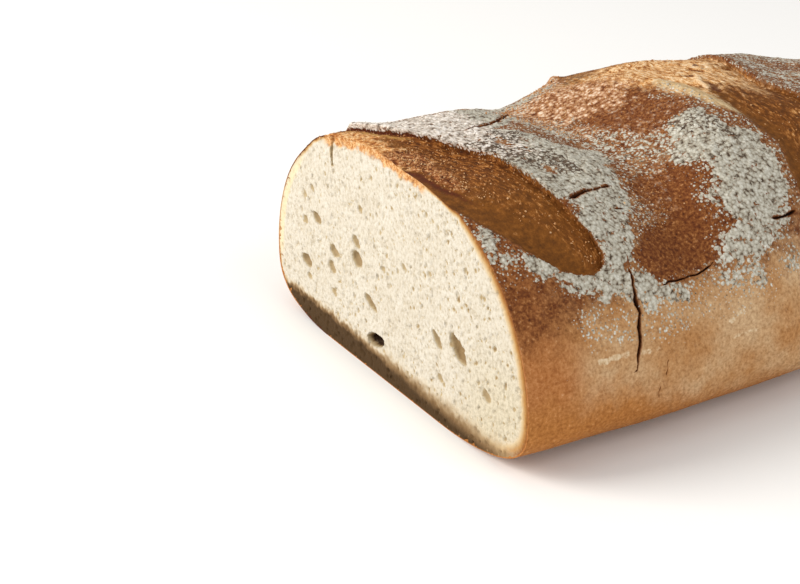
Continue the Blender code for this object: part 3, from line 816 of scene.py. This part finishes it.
# ---- Loose grains on the crust -------------------------------------------
FLOUR_GRAINS = 20000
FLOUR_RADII = (0.00018, 0.00070)
TORN_CRUMBS = 4600
CRUMB_RADII = (0.00030, 0.00120)


def scatter_grains(name, crust, wanted, count, sizes, flat, seed):
    """Small uneven lumps, half sunk in the crust, more of them where they are more wanted."""
    mesh = crust.data
    mesh.calc_loop_triangles()
    corners = read_each(mesh.loop_triangles, "vertices", 3, int)
    points = read_points(crust)
    a, b, c = (points[corners[:, k]] for k in range(3))
    across = np.cross(b - a, c - a)
    area = np.linalg.norm(across, axis=1)
    draw = np.random.default_rng(seed)
    chance = np.cumsum(area * wanted[corners].mean(axis=1))
    picked = np.minimum(np.searchsorted(chance, draw.random(count) * chance[-1]), len(corners) - 1)
    share = draw.dirichlet((1.0, 1.0, 1.0), count)
    centre = np.einsum("nk,nkj->nj", share, points[corners[picked]])
    up = across[picked] / area[picked][:, None]
    side = np.cross(up, draw.normal(size=(count, 3)))
    side /= np.linalg.norm(side, axis=1, keepdims=True)
    third = np.cross(up, side)
    size = sizes[0] + (sizes[1] - sizes[0]) * draw.random(count) ** 2.6

    deselect_all()
    bpy.ops.mesh.primitive_cone_add(vertices=4, radius1=1.0, depth=1.6, end_fill_type="TRIFAN")
    grains = bpy.context.object
    grains.name = grains.data.name = name
    ball = read_points(grains)
    faces = np.array([face.vertices[:] for face in grains.data.polygons])
    lump = ball * size[:, None, None] * draw.uniform(0.72, 1.25, (count, len(ball), 1))
    long, wide = draw.uniform(0.8, 1.3, count), draw.uniform(0.7, 1.0, count)
    lump *= np.stack([long, wide, np.full(count, flat)], axis=-1)[:, None]
    lump[..., 2] -= 0.15 * size[:, None]
    placed = centre[:, None] + lump[..., :1] * side[:, None] + lump[..., 1:2] * third[:, None] + \
        lump[..., 2:] * up[:, None]
    placed[..., 0] = np.maximum(placed[..., 0], 0.0)
    every_face = faces + len(ball) * np.arange(count)[:, None, None]
    grains.data.clear_geometry()
    grains.data.from_pydata(placed.reshape(-1, 3).tolist(), [], every_face.reshape(-1, 3).tolist())
    return grains


def read_paint(piece, name):
    return read_each(piece.data.attributes[name].data, "value")


def shape_flour_grains(crust):
    """Flour in grains and small clumps, most at the patches' edges.

    Milled flour is finer than 0.2 mm. Its grains and clumps are drawn 0.4 to 1.4 mm wide,
    so that they show.
    """
    flour = read_paint(crust, "flour")
    off_cut = read_points(crust)[:, 0] > 0.0008
    wanted = ease(flour, 0.25, 0.60) * (1 - 0.65 * ease(flour, 0.75, 0.95)) + 0.10 * ease(flour, 0.10, 0.30)
    return scatter_grains("flour_grains", crust, wanted * off_cut, FLOUR_GRAINS, FLOUR_RADII,
                          flat=0.62, seed=31)


def shape_torn_crumbs(crust):
    """Crumbs that hang on the torn parts of the slashes and on the ridge between them."""
    x = read_points(crust)[:, 0]
    wanted = 1.6 * read_paint(crust, "rough") + 0.8 * read_paint(crust, "amber") + \
        0.8 * read_paint(crust, "ridge") + read_paint(crust, "fibrous") * np.where(x < BETWEEN_X, 0.30, 0.08)
    return scatter_grains("torn_crumbs", crust, wanted * (x > 0.0012), TORN_CRUMBS, CRUMB_RADII,
                          flat=0.66, seed=32)


# ---- Crumb ---------------------------------------------------------------
CRUMB_STEP = 0.00040
CRUMB_DEPTH = 0.0085       # how far the crumb reaches in behind the cut face
CRUMB_TAPER = 0.86         # its back against its face, so that it stays inside the crust
BACK_GAP = 0.0002          # between its back and the crust's
FACE_SET_IN = 0.00004      # its face lies this far behind the cut
CRUST_RIM = 0.9965         # the crumb's edge against the crust's, at the cut face
# Open holes in the crumb: (Y, Z), width, height, lean in degrees, depth
HOLES = (
    ((0.0081, 0.0114), 0.0112, 0.0048, -14, 0.0052),
    ((-0.0415, 0.0283), 0.0112, 0.0056, 37, 0.0026),
    ((-0.0295, 0.0266), 0.0072, 0.0036, 40, 0.0018),
    ((0.0112, 0.0230), 0.0088, 0.0034, 24, 0.0020),
    ((0.0203, 0.0348), 0.0072, 0.0056, 10, 0.0022),
    ((0.0208, 0.0404), 0.0054, 0.0034, 24, 0.0016),
    ((0.0559, 0.0217), 0.0078, 0.0044, 10, 0.0022),
    ((0.0360, 0.0320), 0.0062, 0.0042, 15, 0.0018),
    ((0.0376, 0.0258), 0.0056, 0.0042, 20, 0.0016),
    ((0.0478, 0.0395), 0.0060, 0.0038, 10, 0.0020),
    ((-0.0571, 0.0201), 0.0054, 0.0036, 10, 0.0016),
    ((0.0365, 0.0173), 0.0040, 0.0026, 15, 0.0012),
    ((-0.0315, 0.0149), 0.0042, 0.0026, 10, 0.0012),
    ((0.0539, 0.0166), 0.0040, 0.0024, 8, 0.0012),
    ((0.0559, 0.0364), 0.0040, 0.0030, 10, 0.0013),
    ((0.0179, 0.0525), 0.0034, 0.0026, 12, 0.0012),
    ((-0.0098, 0.0426), 0.0032, 0.0022, 30, 0.0010),
    ((0.0033, 0.0372), 0.0030, 0.0022, 20, 0.0010),
    ((0.0510, 0.0490), 0.0032, 0.0024, 10, 0.0011),
    ((0.0562, 0.0452), 0.0030, 0.0022, 10, 0.0010),
)
TOP_SPLIT = ((0.0370, 0.0740), (0.0361, 0.0700), (0.0366, 0.0655), (0.0362, 0.0615))
PORES = 4600
TOAST_AND_SHADOW = (0.0130, 0.0114)   # how far up the browned base, with painted shadow over it, shows in the crumb, near and far side


def ring_gap(points, ring):
    """Distance from points (Y, Z) to a closed ring, the nearest place on it, and if each is inside."""
    best = np.full(len(points), np.inf)
    foot = np.zeros_like(points)
    inside = np.zeros(len(points), bool)
    for start, end in zip(ring, np.roll(ring, -1, axis=0)):
        along = end - start
        t = np.clip((points - start) @ along / max(along @ along, 1e-18), 0, 1)
        place = start + t[:, None] * along
        gap = np.linalg.norm(points - place, axis=1)
        closer = gap < best
        best[closer] = gap[closer]
        foot[closer] = place[closer]
        crosses = (start[1] > points[:, 1]) != (end[1] > points[:, 1])
        if crosses.any():
            at = start[0] + (points[:, 1] - start[1]) / (end[1] - start[1]) * along[0]
            inside ^= crosses & (points[:, 0] < at)
    return best, foot, inside


def shape_crumb(ring):
    """The crumb: a fine grid trimmed to the crust's edge, with pores and holes sunk into it."""
    low, high = ring.min(axis=0) - CRUMB_STEP, ring.max(axis=0) + CRUMB_STEP
    counts = np.rint((high - low) / CRUMB_STEP).astype(int)
    deselect_all()
    bpy.ops.mesh.primitive_grid_add(x_subdivisions=int(counts[0]), y_subdivisions=int(counts[1]), size=1.0)
    crumb = bpy.context.object
    crumb.name = crumb.data.name = "crumb"
    flat = (read_points(crumb)[:, :2] + 0.5) * (high - low) + low
    write_points(crumb, np.column_stack([np.zeros(len(flat)), flat]))

    def outside(centres):
        return ~ring_gap(centres[:, 1:], ring)[2]

    pick_faces(crumb, outside)
    edit(crumb)
    bpy.ops.mesh.select_mode(type="FACE")
    bpy.ops.mesh.delete(type="FACE")
    bpy.ops.mesh.select_all(action="SELECT")
    bpy.ops.mesh.normals_make_consistent(inside=False)
    done()
    return crumb


def fit_crumb_edge(crumb, ring):
    """Lay the trimmed grid's ragged edge on the crust's edge."""
    bm = bmesh.new()
    bm.from_mesh(crumb.data)
    bm.verts.ensure_lookup_table()
    edge = np.array([v.index for v in bm.verts if v.is_boundary])
    bm.free()
    points = read_points(crumb)
    points[edge, 1:] = ring_gap(points[edge][:, 1:], ring)[1]
    write_points(crumb, points)


def open_holes(flat, solid, ring):
    """How deep holes, pores and the split lie below the cut face, and how strong the shade painted into them
    is.
    """
    draw = np.random.default_rng(7)
    sunk = np.zeros(len(flat))
    hole_shade = np.zeros(len(flat))
    warp = np.stack([swell(solid, 0.0022, 1), swell(solid, 0.0022, 2)], axis=-1)
    fine_warp = np.stack([swell(solid, 0.0009, 8), swell(solid, 0.0009, 9)], axis=-1)
    warped = flat + 0.00040 * warp + 0.00022 * fine_warp
    order = np.argsort(flat[:, 0])
    sorted_y = flat[order, 0]

    def sink(centre, width, height, lean, depth, colour):
        """One rounded hole, painted shade on its walls."""
        reach = max(width, height) * 0.9
        a, b = np.searchsorted(sorted_y, (centre[0] - reach, centre[0] + reach))
        close = order[a:b]
        close = close[np.abs(flat[close, 1] - centre[1]) < reach]
        d = warped[close] - centre
        c, s = math.cos(math.radians(lean)), math.sin(math.radians(lean))
        r = np.hypot((d[:, 0] * c + d[:, 1] * s) / (width / 2), (-d[:, 0] * s + d[:, 1] * c) / (height / 2))
        bowl = np.clip(1 - r ** 2.2, 0, 1) ** 0.6
        sunk[close] = np.maximum(sunk[close], depth * bowl)
        hole_shade[close] = np.maximum(hole_shade[close], colour * ease(1.10 - r, 0.0, 0.24))

    for centre, width, height, lean, depth in HOLES:
        sink(np.array(centre), width, height, lean, depth, min(1.0, 0.30 + depth / 0.0070))
    low, high = ring.min(axis=0), ring.max(axis=0)
    for _ in range(PORES):
        centre = low + (high - low) * draw.random(2)
        side = (centre[0] - low[0]) / (high[0] - low[0])
        lean = 118 - 55 * side + draw.normal(0, 16)
        width = 0.0006 + 0.0013 * draw.random() ** 3.2
        # The pores get more painted shade towards the near side
        sink(centre, width, width * (0.55 + 0.4 * draw.random()), lean,
             width * (0.22 + 0.28 * draw.random()), (0.12 + 0.32 * draw.random() ** 2.0) * (1.6 - 0.6 * side))
    # The split at the top, and the crumb beside it, get painted shade too
    split_gap, split_place = nearest(np.column_stack([0 * flat[:, 0], warped]),
                                     np.column_stack([np.zeros(len(TOP_SPLIT)), np.array(TOP_SPLIT)]))
    split = fade(split_gap, 0.0002, 0.0013 - 0.0008 * split_place)
    beside_split = fade(split_gap, 0.0008, 0.0032 - 0.0022 * split_place)
    return np.maximum(sunk, 0.0030 * split), np.maximum.reduce([hole_shade, 0.85 * split, 0.45 * beside_split])


def crumb_relief(crumb, ring):
    """Holes and fine cells sunk into the cut face, and the masks that the crumb's finish reads."""
    points = read_points(crumb)
    flat = points[:, 1:]
    solid = np.column_stack([np.zeros(len(points)), flat])
    gap, _, _ = ring_gap(flat, ring)
    sunk, hole_shade = open_holes(flat, solid, ring)
    sunk += 0.00007 * (1 + grit(solid, 0.0011, 3)) + 0.00012 * (1 + swell(solid, 0.006, 4))
    # The knife tore the crumb's edge under the first slash; elsewhere it left it clean
    y, z = flat.T
    slash_side = ease(z, 0.055, 0.066) * fade(np.abs(y - 0.010), 0.026, 0.036)
    ragged_gap = gap + 0.0014 * slash_side * grit(solid, 0.0036, 10) + 0.0004 * swell(solid, 0.0030, 5)
    crumbling = slash_side * fade(ragged_gap, 0.0020, 0.0044)
    sunk += crumbling * 0.00050 * (1 - lumps(solid, 0.0018, 11))
    points[:, 0] = sunk * ease(gap, 0.0, 0.0008) + FACE_SET_IN
    write_points(crumb, points)

    far_side = ease(y, 0.050, 0.066) * ease(z, 0.012, 0.026)
    near_side = ease(-y, 0.030, 0.055)
    edge_width = 0.0018 + 0.0022 * slash_side + 0.0048 * near_side
    across = ease(y, -0.058, 0.052)
    # The band along the base: crumb toasted on the oven floor, with painted shadow darkening it
    toast_and_shadow_top = (TOAST_AND_SHADOW[0] + (TOAST_AND_SHADOW[1] - TOAST_AND_SHADOW[0]) * across) * \
        (1 + 0.12 * swell(solid, 0.0060, 6) + 0.16 * swell(solid, 0.0016, 7))
    masks = dict(
        hollow_shade=hole_shade, crumbling=crumbling,
        # Painted shade: the cut face greyer towards its near side and its base
        near_side_shade=ease(-y, 0.026, 0.070) * (1 - 0.8 * ease(z, 0.010, 0.046)),
        golden_edge=fade(ragged_gap, 0.0, edge_width) * (1 - 0.7 * far_side),
        pale_rim=far_side * fade(ragged_gap, 0.0016, 0.0050),
        toasted_and_shaded=fade(z, toast_and_shadow_top * (0.02 + 0.55 * across), toast_and_shadow_top) * fade(hole_shade, 0.5, 0.8))
    for name, values in masks.items():
        paint(crumb, name, values)


# ---- Finishes ------------------------------------------------------------
def hex_colour(code):
    """An sRGB hex colour as linear red, green, blue and alpha."""
    parts = [int(code[k:k + 2], 16) / 255 for k in (0, 2, 4)]
    return (*[p / 12.92 if p <= 0.04045 else ((p + 0.055) / 1.055) ** 2.4 for p in parts], 1.0)


def add_node(tree, kind, inputs=None, stops=None, **settings):
    """Add a node with its settings, its ramp's stops and its inputs, linked or set."""
    node = tree.nodes.new(kind)
    for name, value in settings.items():
        setattr(node, name, value)
    for key, value in (inputs or {}).items():
        if isinstance(value, bpy.types.NodeSocket):
            tree.links.new(value, node.inputs[key])
        else:
            node.inputs[key].default_value = value
    if stops:
        ramp = node.color_ramp
        while len(ramp.elements) < len(stops):
            ramp.elements.new(0.5)
        for element, (place, code) in zip(ramp.elements, stops):
            element.position = place
            element.color = hex_colour(code)
    return node


def per_mm(size):
    """Scale of a pattern whose marks lie size millimetres apart."""
    return 1.0 / (size * MM)


def new_finish(name, roughness, specular=0.5):
    finish = bpy.data.materials.new(name)
    finish.use_nodes = True
    tree = finish.node_tree
    shader = tree.nodes["Principled BSDF"]
    shader.inputs["Roughness"].default_value = roughness
    shader.inputs["Specular IOR Level"].default_value = specular
    return finish, tree, shader


# Layers of the crust's colour, each over the ones before: its mask, the pattern that frays its
# edge and by how much, from where to where it sets in, and the pattern and stops of its tones
CRUST_LAYERS = (
    ("warm", "clouds", 0.8, 0.60, 1.50, "fine", ((0.3, "905426"), (0.5, "A76A38"), (0.7, "B87C4A"))),
    ("low_edge", "blotches", 0.5, 0.22, 1.08, "fine",
     ((0.3, "8B5423"), (0.5, "A36932"), (0.7, "B87B40"))),
    ("deep_bake", "blotches", 0.9, 0.66, 1.36, "fine",
     ((0.28, "3E1F0B"), (0.42, "603013"), (0.56, "7A4821"), (0.70, "9E6838"), (0.84, "C89C6E"))),
    ("ridge", "uneven", 1.4, 0.90, 1.50, "scales",
     ((0.28, "52260E"), (0.43, "804E2C"), (0.55, "A67752"), (0.68, "CAA484"), (0.84, "E8D4BC"))),
    ("scuff", "fine", 1.3, 0.80, 1.50, "fine", ((0.3, "BC9C74"), (0.7, "DDC8A8"))),
    ("opened", "fine", 0.0, 0.30, 0.70, "uneven", ((0.3, "54300D"), (0.5, "6D4013"), (0.7, "87521C"))),
    ("fibrous", "fibres", 1.0, 0.70, 1.35, "fibres",
     ((0.37, "3A1C07"), (0.475, "5E310A"), (0.555, "824C1B"), (0.635, "B0763B"), (0.74, "E0B682"))),
    ("gold", "uneven", 1.7, 1.00, 1.95, "fibres",
     ((0.35, "7E4214"), (0.43, "B87A3C"), (0.50, "DAA86E"), (0.58, "EECC9E"), (0.70, "FAE8CC"))),
    ("amber", "uneven", 1.2, 0.85, 1.30, "crumbs",
     ((0.32, "74370F"), (0.46, "AC682E"), (0.59, "D0985C"), (0.74, "EAC694"))),
    ("olive", "fibres", 1.0, 0.80, 1.30, "fibres",
     ((0.3, "80531F"), (0.5, "AA7E42"), (0.7, "C9A468"))),
    ("rough", "fine", 0.6, 0.45, 0.95, "crumbs",
     ((0.30, "33160A"), (0.46, "582B10"), (0.59, "804821"), (0.71, "B2784A"), (0.85, "E0BC92"))),
    ("roll", "fibres", 0.9, 0.72, 1.34, "fibres", ((0.3, "A08056"), (0.5, "C2A478"), (0.7, "DFCAA4"))),
    ("curl", "fine", 0.5, 0.45, 0.95, "fine", ((0.3, "C89A66"), (0.7, "F2D8B2"))),
    # Painted shade in the slashes' creases, their hollows and the pit
    ("crease_shade", "fine", 0.7, 0.52, 1.15, "fine", ((0.3, "3A1607"), (0.7, "642E14"))),
    ("flour", "specks", 1.0, 0.98, 1.16, "dust",
     ((0.375, "45372B"), (0.455, "827665"), (0.54, "A69F8F"), (0.66, "BEB9AA"), (0.84, "D8D5CA"))),
    # Whiter flour: partly caked, partly painted light
    ("caked", "specks", 1.0, 0.98, 1.16, "dust",
     ((0.34, "5E4C3E"), (0.46, "A8998A"), (0.58, "D6CABD"), (0.76, "F0E9E1"))),
    # Dark crust between flour grains, with painted shade
    ("pepper", "gaps", 1.0, 1.35, 1.50, "fine", ((0.3, "3A2E25"), (0.7, "74614F"))),
    # Cracks: brown at their edges, nearly black inside as painted shade
    ("cracked", "fine", 0.3, 0.26, 0.56, "cracked",
     ((0.15, "96592A"), (0.42, "562B10"), (0.74, "1E0E05"))),
)
# What the crust's fine relief is made of: pattern, where, how high
CRUST_RELIEF = (("fibres", "fibrous", 0.70), ("fibres", "gold", 0.90), ("dust", "flour", 1.00),
                ("crumbs", "rough", 0.90), ("crumbs", "amber", 0.90), ("dust", "deep_bake", 0.55),
                ("scales", "ridge", 1.20), ("specks", "flour", 0.50))


def lay_over(tree, colour, layers, source):
    """Mix layers of tones over a colour, each where its mask and its frayed edge say."""
    for where, edge, fraying, low, high, pattern, stops in layers:
        frayed = add_node(tree, "ShaderNodeMath", {0: source[edge], 1: fraying, 2: source[where]},
                          operation="MULTIPLY_ADD")
        share = add_node(tree, "ShaderNodeMapRange",
                         {"Value": frayed.outputs[0], "From Min": low, "From Max": high},
                         interpolation_type="SMOOTHSTEP")
        tones = add_node(tree, "ShaderNodeValToRGB", {0: source[pattern]}, stops)
        over = add_node(tree, "ShaderNodeMix", {0: share.outputs[0], 6: colour, 7: tones.outputs[0]},
                        data_type="RGBA")
        colour = over.outputs[2]
    return colour


def crust_finish():
    """Baked wheat crust: brown where the heat was strongest, dusted with flour, with
    torn crumb that browned inside the opened slashes; painted shade in its creases, cracks and the gaps
    between clumps, and painted light on the flour beside the cut."""
    finish, tree, shader = new_finish("baked_wheat_crust", 0.74, 0.14)
    node = functools.partial(add_node, tree)
    place = node("ShaderNodeTexCoord").outputs["Object"]
    flow = node("ShaderNodeAttribute", attribute_name="flow").outputs["Vector"]
    along = node("ShaderNodeMapping", {"Vector": flow, "Scale": (1.0, 0.40, 1.0)}).outputs[0]
    source = {where: node("ShaderNodeAttribute", attribute_name=where).outputs["Fac"]
              for where in [layer[0] for layer in CRUST_LAYERS]}
    # Patterns by the size of their marks in mm. The crust's own grain and fibres are finer than
    # 0.5 mm, and are drawn 1.0 and 1.2 mm wide so that they show
    for name, vector, size, detail, roughness in (
            ("clouds", place, 14.0, 3, 0.55), ("blotches", place, 4.5, 3, 0.60),
            ("uneven", place, 2.3, 4, 0.72), ("fine", place, 1.0, 3, 0.65), ("fibres", along, 1.2, 4, 0.75)):
        source[name] = node("ShaderNodeTexNoise", {"Vector": vector, "Scale": per_mm(size), "Detail": detail,
                                                   "Roughness": roughness}).outputs["Fac"]
    # Clumps of flour and lumps of torn crumb: round tops with dark gaps between, on uneven ground. The gaps'
    # dark is partly the crust between them and partly painted shade.
    # Flour is milled finer than 0.2 mm, and its clumps are drawn 1.1 mm wide so that they show
    for name, size, ground, gap in (("dust", 1.15, 0.80, 0.42), ("specks", 1.05, 0.45, 0.80),
                                    ("crumbs", 1.40, 0.80, 0.46), ("scales", 1.50, 0.90, 0.56)):
        cells = node("ShaderNodeTexVoronoi", {"Vector": place, "Scale": per_mm(size)})
        level = 0.59 + 0.48 * gap - 0.5 * ground   # keeps the middle of every such pattern alike
        tops = node("ShaderNodeMath", {0: cells.outputs["Distance"], 1: -gap, 2: level},
                    operation="MULTIPLY_ADD")
        source[name] = node("ShaderNodeMath", {0: source["uneven"], 1: ground, 2: tops.outputs[0]},
                            operation="MULTIPLY_ADD").outputs[0]
    source["gaps"] = node("ShaderNodeMath", {0: 1.0, 1: source["specks"]}, operation="SUBTRACT").outputs[0]
    # The sides are tan and fine-grained
    tan = node("ShaderNodeValToRGB", {0: source["clouds"]},
               ((0.34, "BA8957"), (0.5, "C59D71"), (0.66, "CFAF88")))
    grain = node("ShaderNodeValToRGB", {0: source["fine"]},
                 ((0.30, "C4B6A7"), (0.48, "E6DFD7"), (0.70, "FFFFFF")))
    side = node("ShaderNodeMix", {0: 1.0, 6: tan.outputs[0], 7: grain.outputs[0]}, data_type="RGBA",
                blend_type="MULTIPLY")
    crust = lay_over(tree, side.outputs[2], CRUST_LAYERS, source)
    tree.links.new(crust, shader.inputs["Base Color"])

    height = node("ShaderNodeMath", {0: source["fine"], 1: 0.35}, operation="MULTIPLY").outputs[0]
    for pattern, where, weight in CRUST_RELIEF:
        part = node("ShaderNodeMath", {0: source[pattern], 1: source[where]}, operation="MULTIPLY")
        height = node("ShaderNodeMath", {0: part.outputs[0], 1: weight, 2: height},
                      operation="MULTIPLY_ADD").outputs[0]
    bump = node("ShaderNodeBump", {"Height": height, "Distance": 0.55 * MM, "Strength": 1.0})
    tree.links.new(bump.outputs[0], shader.inputs["Normal"])
    return finish


CRUMB_LAYERS = (
    # Painted shade towards the near side and the base
    ("near_side_shade", "fine", 0.4, 0.25, 1.05, "fine",
     ((0.3, "9E947E"), (0.48, "BCB19A"), (0.7, "CBC3AF"))),
    # Painted shade in the holes, the pores and the split
    ("hollow_shade", "fine", 0.3, 0.18, 0.62, "hollow_shade",
     ((0.15, "BFB6A2"), (0.45, "AD9A78"), (0.70, "846B48"), (0.95, "2A1608"))),
    ("pale_rim", "fine", 0.4, 0.30, 1.00, "fine", ((0.3, "CCBB98"), (0.7, "D6C9AA"))),
    ("golden_edge", "fine", 0.3, 0.18, 0.60, "golden_edge",
     ((0.10, "C9BDA9"), (0.45, "BFA984"), (0.78, "A67A44"), (0.97, "7E4A1A"))),
    ("crumbling", "fine", 1.2, 0.72, 1.50, "fine",
     ((0.30, "864A20"), (0.44, "B07640"), (0.56, "CC9F6C"), (0.72, "DFC7A2"))),
    # Toasted base crumb, with painted shadow over it
    ("toasted_and_shaded", "fine", 0.5, 0.20, 0.95, "toasted_and_shaded",
     ((0.15, "C6B494"), (0.48, "9C8462"), (0.78, "745A3C"), (0.97, "45321C"))),
)


def crumb_finish():
    """Soft wheat crumb: cream, matt and porous, golden just inside the crust and
    toasted brown where it lay on the oven floor, with painted shadow over that band, and painted shade in its
    holes and pores and towards its near side."""
    finish, tree, shader = new_finish("open_wheat_crumb", 0.90, 0.15)
    node = functools.partial(add_node, tree)
    place = node("ShaderNodeTexCoord").outputs["Object"]
    source = {where: node("ShaderNodeAttribute", attribute_name=where).outputs["Fac"]
              for where in [layer[0] for layer in CRUMB_LAYERS]}
    # The crumb's finest cells are smaller than 0.5 mm, and are drawn 1.1 mm wide so that they show
    for name, size, detail in (("clouds", 9.0, 3), ("fine", 1.10, 4)):
        source[name] = node("ShaderNodeTexNoise", {"Vector": place, "Scale": per_mm(size), "Detail": detail,
                                                   "Roughness": 0.7}).outputs["Fac"]
    cream = node("ShaderNodeValToRGB", {0: source["clouds"]}, ((0.3, "C6BFB1"), (0.7, "CDC8BD")))
    cells = node("ShaderNodeValToRGB", {0: source["fine"]},
                 ((0.30, "C8BFAF"), (0.43, "F0EBE3"), (0.6, "FFFFFF")))
    soft = node("ShaderNodeMix", {0: 1.0, 6: cream.outputs[0], 7: cells.outputs[0]}, data_type="RGBA",
                blend_type="MULTIPLY")
    crumb = lay_over(tree, soft.outputs[2], CRUMB_LAYERS, source)
    tree.links.new(crumb, shader.inputs["Base Color"])
    bump = node("ShaderNodeBump", {"Height": source["fine"], "Distance": 0.35 * MM, "Strength": 0.8})
    tree.links.new(bump.outputs[0], shader.inputs["Normal"])
    return finish


def grain_finish(name, stops):
    """Matt grains, one lighter and the next darker."""
    finish, tree, shader = new_finish(name, 0.85, 0.2)
    place = add_node(tree, "ShaderNodeTexCoord").outputs["Object"]
    mottle = add_node(tree, "ShaderNodeTexNoise", {"Vector": place, "Scale": per_mm(1.3), "Detail": 3.0,
                                                   "Roughness": 0.7})
    tones = add_node(tree, "ShaderNodeValToRGB", {0: mottle.outputs["Fac"]}, stops)
    tree.links.new(tones.outputs[0], shader.inputs["Base Color"])
    return finish


def floor_finish():
    """Matt pale board, so that only the soft shadow shows on it."""
    finish, _, shader = new_finish("pale_matt_board", 0.9, 0.2)
    shader.inputs["Base Color"].default_value = hex_colour("F4F3F1")
    return finish


# ---- Studio --------------------------------------------------------------
# Soft lights: name, direction they come from, distance, size, power, colour
LIGHTS = (
    ("window", (-0.82, 0.34, 0.46), 1.5, 0.8, 23.0, "FFFBF5"),
    ("fill", (0.20, -0.85, 0.55), 1.8, 1.2, 10.0, "FFFFFF"),
)
LIT_HEIGHT = 0.03        # they look at this height above the loaf's base
SKY = 0.62               # strength of the even white light from all round
FLOOR_SIZE = 8.0


def photo_camera():
    azimuth, elevation = math.radians(CAMERA_AZIMUTH), math.radians(CAMERA_ELEVATION)
    back = Vector((math.sin(azimuth) * math.cos(elevation), -math.cos(azimuth) * math.cos(elevation),
                   math.sin(elevation)))
    right = Vector((math.cos(azimuth), math.sin(azimuth), 0.0))
    up = back.cross(right)
    camera = bpy.data.objects.new("photo_camera", bpy.data.cameras.new("photo_camera"))
    camera.data.lens = CAMERA_LENS
    camera.data.sensor_width = 36.0
    camera.data.clip_start, camera.data.clip_end = 0.01, 10.0
    camera.location = AIM + FROM_CUT + back * CAMERA_DISTANCE
    camera.rotation_euler = Matrix((right, up, back)).transposed().to_euler()
    bpy.context.scene.collection.objects.link(camera)
    bpy.context.scene.camera = camera


def soft_light(name, direction, distance, size, power, colour):
    """An area light that looks at the loaf from a direction."""
    lamp = bpy.data.lights.new(name, "AREA")
    lamp.shape = "SQUARE"
    lamp.size = size
    lamp.energy = power
    lamp.color = hex_colour(colour)[:3]
    holder = bpy.data.objects.new(name, lamp)
    towards = Vector(direction).normalized()
    holder.location = towards * distance + Vector((0.0, 0.0, LIT_HEIGHT))
    holder.rotation_euler = towards.to_track_quat("Z", "Y").to_euler()
    bpy.context.scene.collection.objects.link(holder)


def studio():
    deselect_all()
    bpy.ops.mesh.primitive_plane_add(size=FLOOR_SIZE, location=(0.0, 0.0, 0.0))
    floor = bpy.context.object
    floor.name = "floor"
    floor.data.materials.append(floor_finish())
    world = bpy.data.worlds.new("studio")
    world.use_nodes = True
    world.node_tree.nodes["Background"].inputs[0].default_value = hex_colour("FFFFFF")
    world.node_tree.nodes["Background"].inputs[1].default_value = SKY
    bpy.context.scene.world = world
    for light in LIGHTS:
        soft_light(*light)
    bpy.context.scene.view_settings.view_transform = "Standard"


def settle(piece, smooth):
    """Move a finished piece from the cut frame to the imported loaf's place."""
    piece.data.transform(Matrix.Translation(FROM_CUT))
    edit(piece)
    done()
    if smooth:
        bpy.ops.object.shade_smooth_by_angle(angle=math.radians(50))


def main():
    crust = shape_plain_crust()
    shape_crust_relief(crust)
    flour_grains = shape_flour_grains(crust)
    torn_crumbs = shape_torn_crumbs(crust)
    ring = outline_of_cut(crust)
    close_cut(crust, ring, CRUST_RIM, CRUMB_DEPTH + BACK_GAP)
    crumb = shape_crumb(ring)
    fit_crumb_edge(crumb, ring)
    crumb_relief(crumb, ring)
    close_cut(crumb, ring, 1.0, CRUMB_DEPTH)
    # Matt warm-white powder, and crumbs browned by the oven
    flour_powder = grain_finish("dusted_wheat_flour", ((0.3, "A29A89"), (0.5, "BCB6A7"), (0.7, "D8D4C8")))
    toasted_bits = grain_finish("toasted_crumbs", ((0.3, "865024"), (0.5, "B27E4C"), (0.7, "E0C298")))
    for piece, slot, finish, smooth in ((crust, "crust", crust_finish(), True),
                                        (crumb, "crumb", crumb_finish(), True),
                                        (flour_grains, "crust", flour_powder, False),
                                        (torn_crumbs, "crumb", toasted_bits, False)):
        piece.data.materials.append(finish)
        settle(piece, smooth)
        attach(piece, "root")
        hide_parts("loaf")
    photo_camera()
    studio()


main()
